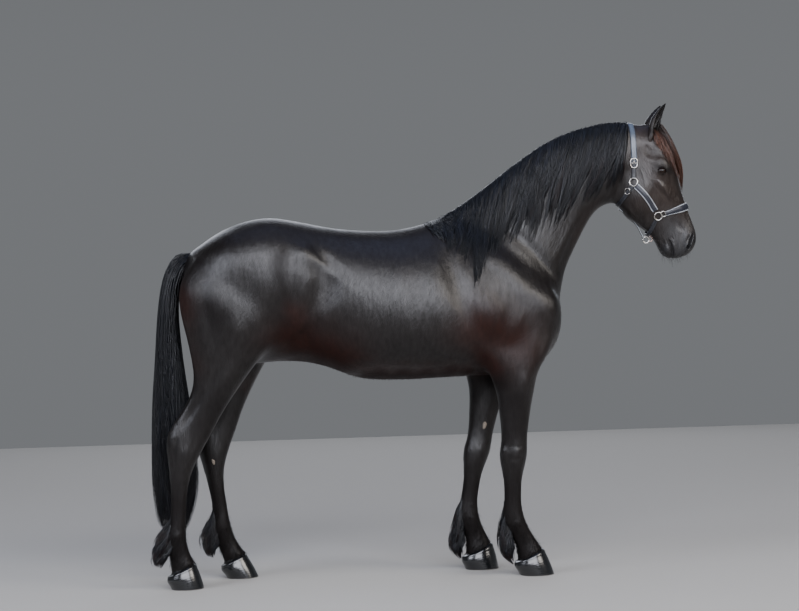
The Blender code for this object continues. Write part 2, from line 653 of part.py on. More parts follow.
def beside(tree, x, z, side=-1):
    """The point of the skin at x and z, seen from one side, and its normal."""
    return tree.ray_cast(Vector((x, side, z)), Vector((0, -side, 0)))[:2]


def around(tree, centre, up, forward, degrees):
    """A point of the skin by its direction from a centre, and its normal."""
    angle = math.radians(degrees)
    ray = up * math.cos(angle) + forward * math.sin(angle)
    return tree.ray_cast(centre + ray * RAY_START, -ray)[:2]


# ---------------------------------------------------------------- ears, eyes and hooves
def ear():
    """The right ear, a shell open to the front and out."""
    root, tip = Vector(EAR_ROOT), Vector(EAR_TIP)
    up = (tip - root).normalized()
    face = Vector(EAR_FACES)
    face = (face - up * face.dot(up)).normalized()
    across = up.cross(face)
    turns = [math.radians(a) for a in range(-EAR_WRAP, EAR_WRAP + 1, EAR_WRAP // 3)]
    rings = []
    for share, half, depth in EAR_SECTIONS:
        middle = root.lerp(tip, share) - face * EAR_BOW * math.sin(math.pi * max(share, 0))
        wall = min(EAR_WALL, 0.45 * depth)
        ring = [middle - face * depth * math.cos(a) + across * half * math.sin(a) for a in turns]
        for a in reversed(turns):
            inward = -face * 0.94 * (depth - wall) * math.cos(a)
            ring.append(middle + inward + across * 0.96 * (half - wall) * math.sin(a))
        rings.append(ring)
    return tube(rings, shell=True)


def ball(middle, radius):
    bm = bmesh.new()
    bmesh.ops.create_icosphere(bm, subdivisions=2, radius=radius, matrix=Matrix.Translation(middle))
    return mesh_of(bm, "ball")


def eye(tree, radius):
    """The right eye."""
    pupil, out = beside(tree, *EYE_PLACE)
    return ball(pupil - out * EYE_SINK, radius)


def hoof(which):
    """A right hoof: an oblique horn box, flat on the floor."""
    (top_front, top_front_z, top_back, top_back_z, top_half), (toe, _, heel, _, half), side = HOOVES[which]
    rings = []
    for share, spread in HOOF_ROWS:
        ring = []
        for k in range(HOOF_POINTS):
            angle = 2 * math.pi * k / HOOF_POINTS
            front, across = (1 + math.cos(angle)) / 2, power(math.sin(angle), HOOF_SQUARE)
            height = top_back_z + (top_front_z - top_back_z) * front
            top = Vector((top_back + (top_front - top_back) * front, top_half * across - side, 0))
            ground = Vector((heel + (toe - heel) * front, half * across - side, 0))
            point = top.lerp(ground, spread)
            point.z = height * (1 - share)
            ring.append(point)
        rings.append(ring)
    return tube(rings)


def coronet_cut(which):
    """A block that takes the flesh off below the top of a right hoof."""
    (front, front_z, back, back_z, half), ground, side = HOOVES[which]
    middle = Vector(((front + back) / 2, -side, (front_z + back_z) / 2))
    matrix = frame_at(middle, (front - back, front_z - back_z))
    return block((-0.12, -half - 0.01, -0.30), (0.12, half + 0.01, GAP), matrix)


# ---------------------------------------------------------------- hair
def hair_loft(rows, count, points, ripple, side=0.0):
    """A body of hair with five strands, from rows of front, rear and half width."""
    return loft([(*row, 0.5, 2.1, 2.2, side) for row in rows], count, points, 5, ripple)


def mane(tree):
    """The hair that covers the crest and hangs over the right side of the neck."""
    columns = 2 * len(MANE_TIPS) - 1
    tips = spline(MANE_TIPS, columns)
    ridge = spline([MANE_REAR, *[row[:2] for row in NECK[2:-1]], MANE_FRONT], columns)
    rings = []
    for column in range(columns):
        top_x = ridge[column][0]
        tip_x, tip_z = tips[column]
        notch = column % 2
        tip_z += MANE_NOTCH * notch * (0.7 + 0.5 * math.sin(2.3 * column))
        crown = tree.ray_cast(Vector((top_x, 0, 3)), Vector((0, 0, -1)))[0]
        out_row, in_row = [], []
        for drop in MANE_DROPS:
            if drop <= 0:
                near = tree.ray_cast(Vector((top_x, drop * -0.45, 3)), Vector((0, 0, -1)))
            else:
                x = top_x + (tip_x - top_x) * drop
                z = crown.z - 0.012 + (tip_z - crown.z) * drop
                near = tree.ray_cast(Vector((x, -1, z)), Vector((0, 1, 0)))
            if near[0] is None:
                near = tree.find_nearest(Vector((top_x, -0.04, crown.z)))
            depth = MANE_EDGE if drop < 0 else MANE_DEPTH * (1 - 0.55 * drop**2) * (0.8 + 0.2 * notch)
            out_row.append(near[0] + near[1] * depth)
            in_row.append(near[0] - near[1] * MANE_SUNK)
        rings.append(out_row + in_row[::-1])
    return tube(rings, shell=True)


# ---------------------------------------------------------------- the head collar
def strap(points, width, thick=STRAP_THICK, sink=STRAP_SUNK):
    """A flat strap along points of the skin, each with its normal; its inner side is sunk, to be cut off."""
    rings = []
    for i, (point, normal) in enumerate(points):
        before = points[max(i - 1, 0)][0]
        after = points[min(i + 1, len(points) - 1)][0]
        along = (after - before).normalized()
        normal = (normal - along * normal.dot(along)).normalized()
        across = along.cross(normal)
        corners = ((-0.5, -sink), (0.5, -sink), (0.44, thick), (-0.44, thick))
        rings.append([point + across * width * a + normal * b for a, b in corners])
    return tube(rings)


def ring(middle, normal, radius, wire, tall=1.0):
    """A wire ring that lies square to a normal, stretched upright when tall is over 1."""
    normal = normal.normalized()
    up = Vector((0, 0, 1))
    up = (up - normal * up.dot(normal)).normalized()
    across = up.cross(normal)
    bm = bmesh.new()
    loops = []
    for k in range(RING_TURNS):
        angle = 2 * math.pi * k / RING_TURNS
        out = across * math.cos(angle) + up * math.sin(angle)
        at = middle + across * radius * math.cos(angle) + up * radius * tall * math.sin(angle)
        turns = [2 * math.pi * j / RING_SIDES for j in range(RING_SIDES)]
        section = [out * math.cos(turn) + normal * math.sin(turn) for turn in turns]
        loops.append([bm.verts.new(at + offset * wire) for offset in section])
    for low, high in zip(loops, loops[1:] + loops[:1]):
        for j in range(RING_SIDES):
            n = (j + 1) % RING_SIDES
            bm.faces.new((low[j], low[n], high[n], high[j]))
    bmesh.ops.recalc_face_normals(bm, faces=bm.faces)
    return mesh_of(bm, "ring")


def between(a, b, share):
    """A point of the midline between two points of the side view."""
    return Vector((a[0], 0, a[1])).lerp(Vector((b[0], 0, b[1])), share)


def loop_path(tree, start, end, share, degrees, turn):
    """Points of the skin round an axis that runs from start towards end in the side view."""
    centre = between(start, end, share)
    ahead = (between(start, end, 1) - centre).normalized()
    turns = range(-degrees, degrees + 1, turn)
    return [around(tree, centre, ahead, Vector((0, -1, 0)), a) for a in turns], ahead


def halter(tree, body, made):
    """Add the head collar to the pieces made: crown, cheek, nose, chin and throat straps, rings and buckle."""

    def snug(name, mesh, finish_name, others=()):
        """Keep what lies outside the body and clear of other pieces."""
        clear = [grown(made[other][0], GAP) for other in others]
        made[name] = (trimmed(mesh, [body.copy(), *clear]), finish_name)

    for name, (x, z) in RINGS.items():
        for side, sign in SIDES:
            at, normal = beside(tree, x, z, sign)
            middle = at + normal * (RING_WIRE + RING_STAND)
            snug(f"ring_{name}_{side}", ring(middle, normal, RING_RADIUS, RING_WIRE), "steel")
    rings = [f"ring_{name}_{side}" for name in RINGS for side, sign in SIDES]

    path, up = loop_path(tree, (CROWN["x"], CROWN["centre"]), (CROWN["x"], 2.0), 0, 144, 12)
    path = [pair for pair in path if pair[0].z > RINGS["upper"][1] + RING_RADIUS + 0.004]
    snug("strap_crown", strap(path, CROWN["width"]), "crown_leather", rings)
    at, normal = beside(tree, *BUCKLE["place"])
    middle = at + normal * (STRAP_THICK + BUCKLE["wire"] + 2 * GAP)
    oval = ring(middle, normal, BUCKLE["width"] / 2, BUCKLE["wire"], BUCKLE["height"] / BUCKLE["width"])
    snug("buckle", oval, "steel", ["strap_crown"])
    for side, sign in SIDES:
        path = [beside(tree, x, z, sign) for x, z in CHEEK["points"]]
        snug(f"strap_cheek_{side}", strap(path, CHEEK["width"]), "leather", rings)

    path, ahead = loop_path(tree, RINGS["lower"], NOSE["front"], 0.3, 126, 14)
    path = [pair for pair in path if pair[0].x > RINGS["lower"][0] + RING_RADIUS + 0.005]
    snug("strap_nose", strap(path, NOSE["width"]), "leather", rings)

    path, down = loop_path(tree, RINGS["lower"], CHIN["low"], 0.35, 110, 20)
    sag = [CHIN["slack"] * max(math.cos(math.radians(a)), 0) for a in range(-110, 111, 20)]
    path = [(point + down * drop, normal) for (point, normal), drop in zip(path, sag)]
    path = [pair for pair in path if pair[0].z < RINGS["lower"][1] - RING_RADIUS - 0.003]
    snug("strap_chin", strap(path, CHIN["width"], sink=0.0), "leather", rings)
    low = min(coordinates(made["strap_chin"][0])[:, 2])
    middle = Vector((CHIN["low"][0] - 0.004, 0, low - CHIN["ring"] - RING_WIRE - GAP))
    made["ring_chin"] = (ring(middle, Vector((0, 1, 0)), CHIN["ring"], RING_WIRE), "steel")

    path, down = loop_path(tree, THROAT["top"], THROAT["bottom"], 0.4, 130, 13)
    path = [pair for pair in path if pair[0].z < RINGS["upper"][1] - RING_RADIUS - 0.002]
    cheeks = ["strap_cheek_right", "strap_cheek_left"]
    snug("strap_throat", strap(path, THROAT["width"]), "leather", rings + cheeks)
    path = [(Vector((x, 0, z)), Vector((-1, 0, -1))) for x, z in JAW_STRAP["points"]]
    jaw = strap(path, JAW_STRAP["width"], sink=0.0)
    snug("strap_jaw", jaw, "leather", ["strap_throat", "strap_chin", "ring_chin"])


# ---------------------------------------------------------------- the horse
def flesh_name(middle):
    """What a piece of the parted flesh is called, by the middle of its box."""
    x, y, z = middle
    side = "left" if y > 0 else "right"
    if z > 1.70 and x > 0.85:
        return "head"
    if z > 1.45 and x > 0.3:
        return "neck"
    if z < 0.62:
        return f"foreleg_{side}" if x > 0 else f"hindleg_{side}"
    return "trunk"


def parted(mesh):
    """The pieces of the flesh that the plates cut apart, by name."""
    plates = []
    for (x, z), along, length, breadth in PLATES:
        half = Vector((length / 2, breadth / 2, GAP / 2))
        plates.append(block(-half, half, frame_at(Vector((x, 0, z)), along)))
    cut = cut_away(mesh, plates)
    for rank in range(len(pieces(cut))):
        piece = closed_piece(cut, rank)
        points = coordinates(piece)
        yield flesh_name((points.min(0) + points.max(0)) / 2), piece


def finish(name, finish_name):
    colour, roughness, metallic = FINISHES[finish_name]
    return material(f"{name}_{finish_name}", colour, roughness, metallic)


def build():
    clear_scene()
    body = flesh()
    clear_body = grown(body, CLEAR)
    tree = skin_tree(body)
    made = {}
    hollows = []
    for side, mesh in on_both_sides(ear()):
        made[f"ear_{side}"] = (trimmed(mesh, [clear_body.copy()]), "coat")
    for side, mesh in on_both_sides(eye(tree, EYE_RADIUS)):
        made[f"eye_{side}"] = (mesh, "eye")
    hollows += [mesh for side, mesh in on_both_sides(eye(tree, EYE_RADIUS + GAP))]
    for which in HOOVES:
        for side, mesh in on_both_sides(hoof(which)):
            made[f"hoof_{which}_{side}"] = (placed(side, mesh), "horn")
        hollows += [placed(side, mesh) for side, mesh in on_both_sides(coronet_cut(which))]
        feather = hair_loft(FEATHERS[which], 8, 12, FEATHER_RIPPLE, -HOOVES[which][2])
        for side, mesh in on_both_sides(feather):
            horn = grown(made[f"hoof_{which}_{side}"][0], GAP)
            made[f"feather_{which}_{side}"] = (trimmed(placed(side, mesh), [clear_body.copy(), horn]), "hair")
    made["tail"] = (trimmed(hair_loft(TAIL, 12, 13, TAIL_RIPPLE), [clear_body.copy()]), "hair")
    made["forelock"] = (trimmed(hair_loft(FORELOCK, 8, 11, TAIL_RIPPLE), [clear_body.copy()]), "hair")
    made["mane"] = (trimmed(mane(tree), [grown(body, MANE_CLEAR)]), "hair")
    halter(tree, clear_body, made)
    for name, mesh in parted(trimmed(body, hollows)):
        if name not in made:
            made[name] = (mesh, "coat")
    for name, (mesh, finish_name) in made.items():
        add_object(name, mesh, finish(name, finish_name))


build()
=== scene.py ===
"""The looks of a black Friesian horse in a leather head collar, standing still at life size.

Metres, +Z up. The horse faces +X, its left side is +Y and its right side is -Y. Every piece lies where the
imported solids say.
"""

import math

import bmesh
import bpy
import numpy as np
from mathutils import Matrix, Vector
from mathutils.bvhtree import BVHTree


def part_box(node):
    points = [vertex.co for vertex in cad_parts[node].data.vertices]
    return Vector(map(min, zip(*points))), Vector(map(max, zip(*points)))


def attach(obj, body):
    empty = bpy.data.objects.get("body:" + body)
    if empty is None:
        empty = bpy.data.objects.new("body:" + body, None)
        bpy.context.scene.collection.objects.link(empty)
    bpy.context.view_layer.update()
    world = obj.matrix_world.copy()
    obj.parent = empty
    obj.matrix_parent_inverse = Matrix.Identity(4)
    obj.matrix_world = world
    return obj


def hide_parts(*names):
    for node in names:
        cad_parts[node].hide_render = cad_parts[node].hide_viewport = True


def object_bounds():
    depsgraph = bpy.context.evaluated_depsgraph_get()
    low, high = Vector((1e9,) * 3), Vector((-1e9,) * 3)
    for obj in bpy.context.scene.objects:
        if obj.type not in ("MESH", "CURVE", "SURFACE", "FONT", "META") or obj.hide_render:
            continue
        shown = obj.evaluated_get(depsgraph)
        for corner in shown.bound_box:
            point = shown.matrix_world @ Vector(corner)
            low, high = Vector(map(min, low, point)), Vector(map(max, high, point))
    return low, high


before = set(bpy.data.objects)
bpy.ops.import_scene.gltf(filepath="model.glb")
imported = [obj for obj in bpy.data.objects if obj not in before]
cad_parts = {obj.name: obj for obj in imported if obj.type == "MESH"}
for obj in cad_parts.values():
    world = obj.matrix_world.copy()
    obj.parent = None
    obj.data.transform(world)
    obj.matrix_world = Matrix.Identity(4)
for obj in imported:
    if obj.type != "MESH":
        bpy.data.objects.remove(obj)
cad_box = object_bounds()

# ---------------------------------------------------------------- skin
# The whole hide of the animal, from the lips and the ears down to the coronets, over fat, muscle and bone.
# It is one closed skin: lofts joined on a fine grid, softened like flesh, then worked with fine strokes.
# It lies inside the solids by the depth of the short coat.
GRID = 0.009
SOFT_ROUNDS = {"flesh": 40, "bone": 4}
COAT_DEPTH = 0.0018
SIDES = (("right", -1), ("left", 1))  # and the sign of y there

# Trunk: x, top, bottom, half width, widest, roundness of the back, roundness of the belly.
TRUNK = [
    (-1.085, 1.4, 1.25, 0.05, 0.5, 2.0, 2.0), (-1.06, 1.458, 1.15, 0.125, 0.45, 2.0, 2.0),
    (-1.0, 1.504, 1.05, 0.205, 0.42, 2.2, 2.0), (-0.913, 1.56, 0.985, 0.262, 0.4, 2.4, 2.0),
    (-0.8, 1.602, 0.965, 0.29, 0.4, 2.5, 2.0), (-0.69, 1.616, 0.97, 0.294, 0.4, 2.4, 2.0),
    (-0.56, 1.594, 0.978, 0.28, 0.42, 2.3, 2.1), (-0.44, 1.569, 0.938, 0.282, 0.5, 2.2, 2.2),
    (-0.3, 1.553, 0.888, 0.306, 0.54, 2.1, 2.2), (-0.13, 1.552, 0.877, 0.322, 0.56, 2.0, 2.2),
    (0.03, 1.586, 0.88, 0.316, 0.58, 1.8, 2.2), (0.16, 1.606, 0.884, 0.292, 0.6, 1.6, 2.2),
    (0.3, 1.56, 0.886, 0.268, 0.58, 1.8, 2.2), (0.43, 1.46, 0.897, 0.246, 0.52, 2.0, 2.2),
    (0.525, 1.36, 0.95, 0.214, 0.5, 2.1, 2.2), (0.583, 1.28, 1.022, 0.16, 0.5, 2.0, 2.0),
    (0.606, 1.2, 1.1, 0.07, 0.5, 2.0, 2.0),
]
# Neck: crest x and z, throat x and z, half width, widest, roundness of crest, roundness of throat.
NECK = [
    (-0.02, 1.56, 0.42, 0.96, 0.15, 0.6, 1.7, 2.2), (0.08, 1.614, 0.57, 1.1, 0.168, 0.6, 1.6, 2.2),
    (0.19, 1.684, 0.612, 1.24, 0.152, 0.6, 1.6, 2.2), (0.3, 1.762, 0.636, 1.345, 0.13, 0.6, 1.7, 2.2),
    (0.43, 1.858, 0.671, 1.42, 0.114, 0.58, 1.8, 2.2), (0.57, 1.944, 0.709, 1.492, 0.102, 0.56, 1.9, 2.2),
    (0.7, 1.994, 0.746, 1.56, 0.095, 0.55, 2.0, 2.2), (0.82, 2.014, 0.786, 1.614, 0.09, 0.52, 2.1, 2.2),
    (0.92, 2.016, 0.828, 1.638, 0.086, 0.5, 2.1, 2.2), (0.99, 2.006, 0.868, 1.648, 0.08, 0.48, 2.1, 2.2),
]
# Head: face x and z, jaw x and z, half width, widest, roundness of face, roundness of jaw.
HEAD = [
    (0.955, 1.99, 0.85, 1.71, 0.07, 0.42, 2.1, 2.1), (1.032, 2.01, 0.87, 1.664, 0.078, 0.36, 2.2, 2.1),
    (1.08, 1.976, 0.89, 1.622, 0.09, 0.32, 2.4, 2.1), (1.114, 1.908, 0.91, 1.585, 0.101, 0.28, 2.6, 2.1),
    (1.14, 1.838, 0.94, 1.556, 0.103, 0.26, 2.6, 2.1), (1.162, 1.766, 0.974, 1.534, 0.09, 0.3, 2.4, 2.1),
    (1.183, 1.696, 1.012, 1.51, 0.074, 0.36, 2.3, 2.1), (1.204, 1.634, 1.04, 1.484, 0.062, 0.42, 2.3, 2.1),
    (1.224, 1.578, 1.058, 1.456, 0.056, 0.48, 2.3, 2.2),
    (1.243, 1.522, 1.07, 1.426, 0.058, 0.46, 2.4, 2.2),
    (1.247, 1.474, 1.088, 1.404, 0.057, 0.44, 2.3, 2.2),
    (1.232, 1.434, 1.116, 1.393, 0.047, 0.48, 2.2, 2.2), (1.208, 1.408, 1.15, 1.39, 0.026, 0.5, 2.0, 2.0),
]
# Foreleg in mm, as the right one stands: z, front x, back x, half width, distance from the midline.
FORELEG = [
    (1100, 565, 200, 70, 160), (990, 528, 205, 86, 168), (900, 474, 250, 82, 168),
    (820, 454, 280, 74, 164), (740, 438, 292, 64, 158), (650, 425, 300, 55, 152), (590, 421, 299, 54, 149),
    (545, 420, 292, 58, 147), (495, 411, 296, 54, 145), (450, 399, 304, 43, 143), (400, 393, 308, 36, 140),
    (330, 391, 308, 35, 137), (285, 396, 302, 38, 135), (238, 409, 300, 45, 133), (200, 427, 318, 42, 131),
    (162, 450, 344, 38, 130), (125, 474, 360, 45, 129), (100, 483, 362, 54, 128), (60, 486, 368, 56, 128),
]
# Hind leg in mm, as the right one stands: front x and z, back x and z, half width, distance out.
HINDLEG = [
    (-760, 1430, -980, 1470, 40, 110), (-690, 1370, -1040, 1430, 95, 125),
    (-650, 1290, -1088, 1360, 128, 138), (-640, 1205, -1108, 1275, 142, 148),
    (-657, 1120, -1096, 1175, 136, 156), (-705, 1050, -1077, 1090, 116, 161),
    (-764, 975, -1062, 1010, 96, 162), (-824, 900, -1050, 930, 80, 161), (-878, 825, -1058, 860, 67, 159),
    (-930, 745, -1092, 790, 55, 156), (-972, 668, -1140, 722, 49, 154), (-1008, 606, -1170, 658, 52, 152),
    (-1041, 545, -1170, 585, 53, 150), (-1066, 485, -1163, 500, 44, 149),
    (-1080, 420, -1160, 425, 36, 148), (-1087, 350, -1160, 350, 35, 147),
    (-1090, 290, -1168, 285, 38, 146), (-1092, 238, -1186, 228, 46, 145),
    (-1088, 192, -1182, 178, 42, 145), (-1075, 150, -1170, 136, 40, 145), (-1060, 120, -1164, 96, 49, 145),
    (-1052, 80, -1162, 62, 54, 145),
]
# Strokes that raise (+) or press in (-) the skin, in mm: x and z of each point, then reach and lift. Those
# on the midline act on all the skin near them, and the others on the outer side of the body, right and left.
MIDLINE = {
    "croup groove": (-1000, 1500, -860, 1590, -700, 1615, -560, 1600, 45, -10),
    "back groove": (-500, 1585, -200, 1555, 0, 1575, 30, -5),
    "buttock cleft": (-1100, 1380, -1090, 1200, -1050, 1020, 50, -45),
    "breast groove": (620, 1260, 600, 1100, 550, 940, 34, -20),
    "jaw hollow": (920, 1570, 1020, 1500, 28, -14), "sheath": (-620, 975, -500, 965, 70, 10),
}
STROKES = {
    "point of hip": (-575, 1480, -550, 1425, 55, 13),
    "hip ridge": (-560, 1450, -550, 1300, -600, 1170, 55, 6),
    "flank hollow": (-465, 1400, -470, 1290, -520, 1190, 85, -20),
    "flank fold": (-500, 1140, -600, 1060, -660, 1020, 45, -10),
    "stifle": (-705, 1090, -735, 1050, 65, 12), "thigh front": (-700, 1360, -750, 1180, 100, 8),
    "thigh groove": (-970, 1440, -1000, 1300, -965, 1120, -940, 1000, 36, -7),
    "buttock": (-1060, 1340, -1055, 1160, 60, 8), "gaskin": (-860, 980, -940, 850, 60, 8),
    "gaskin groove": (-930, 970, -1000, 840, 28, -5),
    "tendon hollow": (-1005, 860, -1060, 770, -1100, 700, 28, -11),
    "hock": (-1070, 610, -1090, 570, 34, 5), "hind tendon": (-1133, 500, -1135, 300, 17, -4),
    "fore tendon": (345, 440, 345, 300, 16, -4),
    "shoulder blade": (130, 1520, 300, 1400, 450, 1240, 65, 8),
    "shoulder groove": (300, 1590, 450, 1460, 575, 1310, 40, -12),
    "point of shoulder": (500, 1230, 530, 1170, 85, 12), "shoulder hollow": (350, 1260, 430, 1130, 45, -5),
    "triceps": (220, 1220, 310, 1080, 90, 13),
    "behind shoulder": (60, 1460, 110, 1280, 165, 1100, 65, -12), "elbow": (235, 995, 255, 955, 42, 9),
    "forearm": (400, 900, 380, 780, 48, 7), "knee": (362, 560, 360, 520, 32, 3),
    "jugular groove": (730, 1620, 660, 1480, 600, 1340, 30, -9),
    "neck muscle": (620, 1790, 420, 1610, 250, 1420, 55, -5),
    "behind jaw": (905, 1810, 880, 1710, 868, 1655, 24, -11), "jowl": (960, 1700, 965, 1630, 75, 9),
    "jowl edge": (1035, 1700, 1020, 1620, 28, -5), "temple hollow": (1012, 1888, 1034, 1868, 34, -7),
    "brow": (1040, 1826, 1068, 1833, 1096, 1812, 24, 6), "eye mound": (1062, 1789, 1078, 1785, 46, 12),
    "cheekbone": (1030, 1762, 1080, 1705, 1130, 1645, 22, 6),
    "cheek hollow": (1105, 1745, 1155, 1655, 28, -6), "nostril wing": (1204, 1500, 1188, 1462, 32, 9),
    "nostril": (1208, 1492, 1197, 1462, 14, -16), "mouth": (1106, 1472, 1118, 1432, 1124, 1396, 10, -5),
}
# The left legs stand closer together than the right: sideways push per metre below a pivot, and its reach.
LEFT_FORE = {"pivot": 1.27, "push": -0.165, "fade": (1.28, 0.96), "x": (-0.05, 0.08, 0.6, 0.8)}
LEFT_HIND = {"pivot": 1.24, "push": 0.198, "fade": (1.26, 1.02), "x": (-1.4, -1.3, -0.72, -0.48)}

# Finer folds, veins and bony edges that only the skin carries, in the same form.
FOLDS = {
    "body": [
        (-572, 1478, -584, 1370, -592, 1255, 17, 5.2), (-500, 1430, -400, 1335, -300, 1240, 20, 3.6),
        (-545, 1500, -520, 1440, -470, 1380, -400, 1320, 34, 5.5),
        (-500, 1470, -440, 1390, -350, 1300, 34, -5), (-600, 1130, -560, 1080, -540, 1020, 22, -5),
        (-640, 1110, -600, 1060, -590, 1000, 22, 4.5), (-420, 1010, -220, 960, 0, 952, 150, 975, 20, 3.5),
        (170, 1060, 205, 990, 235, 945, 22, -6), (500, 1080, 470, 1000, 455, 950, 22, -5.5),
        (345, 1210, 310, 1110, 275, 1040, 30, -6), (415, 1200, 370, 1110, 345, 1040, 30, 5),
        (300, 1540, 200, 1480, 140, 1360, 45, -4), (620, 1720, 520, 1620, 420, 1530, 45, 5),
        (690, 1600, 620, 1480, 560, 1380, 26, 6), (520, 1300, 550, 1230, 545, 1150, 30, 5),
        (-880, 1240, -860, 1120, -840, 1020, 50, 5), (-120, 1440, -150, 1250, -110, 1080, 60, 3),
        (10, 1400, 0, 1240, 40, 1060, 60, 4),
    ],
    "legs": [
        (440, 660, 424, 600, 14, -2.5), (360, 600, 366, 520, 20, 3.5),
        (400, 580, 366, 574, 335, 582, 10, -2.8), (396, 530, 360, 518, 330, 524, 10, -2.8),
        (310, 575, 306, 535, 16, 5), (362, 490, 357, 380, 362, 290, 8.5, -3.4),
        (334, 480, 330, 380, 332, 290, 8, 2.6), (372, 240, 352, 225, 20, 4),
        (-1035, 650, -1060, 610, -1072, 560, 14, -3.4), (-1120, 660, -1138, 600, -1130, 540, 14, -3.8),
        (-1080, 560, -1100, 500, 18, 3.6), (-1114, 480, -1118, 380, -1124, 290, 8.5, -3.4),
        (-1144, 480, -1146, 380, -1152, 290, 8, 2.6), (-1130, 240, -1144, 222, 20, 4),
    ],
    "head": [
        (1052, 1742, 1085, 1700, 1130, 1642, 13, 3.6), (1036, 1726, 1066, 1690, 1100, 1650, 13, -2.6),
        (1128, 1756, 1116, 1705, 1098, 1650, 1070, 1612, 7.5, 0.9),
        (1112, 1700, 1142, 1655, 1166, 1600, 7, 0.8), (1098, 1650, 1116, 1610, 1136, 1560, 7, 0.8),
        (1158, 1690, 1184, 1620, 1206, 1555, 16, -3), (1128, 1566, 1156, 1535, 1180, 1515, 18, -2.6),
        (1165, 1510, 1170, 1465, 1176, 1430, 15, -2.6), (1092, 1494, 1098, 1470, 1104, 1445, 6.5, -1.8),
        (1080, 1482, 1086, 1456, 7.5, -1.8), (1118, 1494, 1128, 1476, 6.5, -1.4),
        (1096, 1446, 1104, 1412, 18, 2.6), (978, 1868, 1010, 1842, 1046, 1822, 20, 1),
        (998, 1900, 1016, 1866, 1036, 1846, 26, -1.6), (1052, 1838, 1076, 1834, 1096, 1820, 18, 1.2),
        (972, 1810, 988, 1760, 996, 1700, 9, 1.3), (900, 1645, 932, 1602, 966, 1558, 20, 3.2),
        (1016, 1610, 1004, 1560, 18, -3), (1100, 1790, 1112, 1756, 16, -2.6),
    ],
}
# The line where the lips meet runs right round the mouth, so it acts on the skin at any angle.
LIPS = ([(1.106, 1.478), (1.114, 1.462), (1.1215, 1.431), (1.1285, 1.386)], 0.0065, -0.0065)
LIP_ROLLS = ([(1.129, 1.46), (1.134, 1.43), (1.14, 1.39)], 0.01, 0.0025)


def spline(rows, count):
    """Points of a smooth curve through rows of numbers, evenly spaced by row."""
    rows = np.array(rows, float)
    last = len(rows) - 1
    padded = np.vstack([2 * rows[0] - rows[1], rows, 2 * rows[-1] - rows[-2]])
    place = np.linspace(0, last, count)
    i = np.minimum(place.astype(int), last - 1)
    t = (place - i)[:, None]
    a, b, c, d = (padded[i + k] for k in range(4))
    square, cube = 2 * a - 5 * b + 4 * c - d, 3 * b - a - 3 * c + d
    return 0.5 * (2 * b + (c - a) * t + square * t**2 + cube * t**3)


def marks(rows, per=1, midline=False):
    """Path, reach and last value from rows of x and z of each point and a reach, in mm, and a last value."""
    for *places, reach, last in rows:
        path = np.array(places).reshape(-1, 2) / 1000
        yield np.insert(path, 1, 0, axis=1) if midline else path, reach / 1000, last / per


def step(values, start, end):
    """0 at the start and 1 at the end, with a smooth ramp between."""
    t = np.clip((values - start) / (end - start), 0, 1)
    return t * t * (3 - 2 * t)


def power(value, exponent):
    return math.copysign(abs(value) ** (2 / exponent), value)


def mesh_of(bm, name):
    mesh = bpy.data.meshes.new(name)
    bm.to_mesh(mesh)
    bm.free()
    return mesh


def add_object(name, mesh, material=None):
    obj = bpy.data.objects.new(name, mesh)
    bpy.context.collection.objects.link(obj)
    if material:
        mesh.materials.append(material)
        for face in mesh.polygons:
            face.use_smooth = True
    return obj


def baked(obj):
    """The mesh of an object with its modifiers applied; the object goes."""
    graph = bpy.context.evaluated_depsgraph_get()
    mesh = bpy.data.meshes.new_from_object(obj.evaluated_get(graph))
    bpy.data.objects.remove(obj, do_unlink=True)
    return mesh


def tube(rings):
    """A closed mesh over rings of points, with fans at its ends."""
    bm = bmesh.new()
    loops = [[bm.verts.new(point) for point in ring] for ring in rings]
    for low, high in zip(loops, loops[1:]):
        for i in range(len(low)):
            j = (i + 1) % len(low)
            bm.faces.new((low[i], low[j], high[j], high[i]))
    for loop in (loops[0], loops[-1]):
        middle = bm.verts.new(sum((v.co for v in loop), Vector()) / len(loop))
        for i in range(len(loop)):
            bm.faces.new((loop[i], loop[(i + 1) % len(loop)], middle))
    bmesh.ops.recalc_face_normals(bm, faces=bm.faces)
    return mesh_of(bm, "tube")


def loft(stations, count, points=56):
    """A closed loft. A station is x, z, x, z, half width, widest, two roundnesses and the side offset."""
    rings = []
    for ax, az, bx, bz, half, widest, round_a, round_b, side in spline(stations, count):
        start, end = Vector((ax, side, az)), Vector((bx, side, bz))
        ring = []
        for k in range(points):
            turn, across = math.cos(2 * math.pi * k / points), math.sin(2 * math.pi * k / points)
            bend = round_a if turn > 0 else round_b
            down = widest - power(turn, bend) * (widest if turn > 0 else 1 - widest)
            ring.append(start.lerp(end, down) + Vector((0, power(across, bend) * half, 0)))
        rings.append(ring)
    return tube(rings)


def mirrored(mesh):
    copy = mesh.copy()
    copy.transform(Matrix.Diagonal((1, -1, 1, 1)))
    copy.flip_normals()
    return copy


def joined(meshes):
    bm = bmesh.new()
    for mesh in meshes:
        bm.from_mesh(mesh)
    return mesh_of(bm, "joined")


def read(mesh, what="vertices", field="co", size=3, kind=float):
    """The points, edges or normals of a mesh as an array."""
    rows = getattr(mesh, what)
    values = np.empty(len(rows) * size, kind)
    rows.foreach_get(field, values)
    return values.reshape(-1, size)


def set_points(mesh, points):
    mesh.vertices.foreach_set("co", np.ascontiguousarray(points).ravel())
    mesh.update()


def relaxed(points, edges, share, rounds):
    """Points drawn towards the middle of their neighbours, each by its share."""
    a, b = edges.T
    size = len(points)
    count = np.bincount(edges.ravel(), minlength=size)[:, None]
    for _ in range(rounds):
        near = [np.bincount(a, points[b, k], size) + np.bincount(b, points[a, k], size) for k in range(3)]
        points = points + share * (np.stack(near, axis=1) / count - points)
    return points


def unit(vectors):
    """Rows of vectors at a length of 1."""
    return vectors / np.linalg.norm(vectors, axis=-1, keepdims=True)


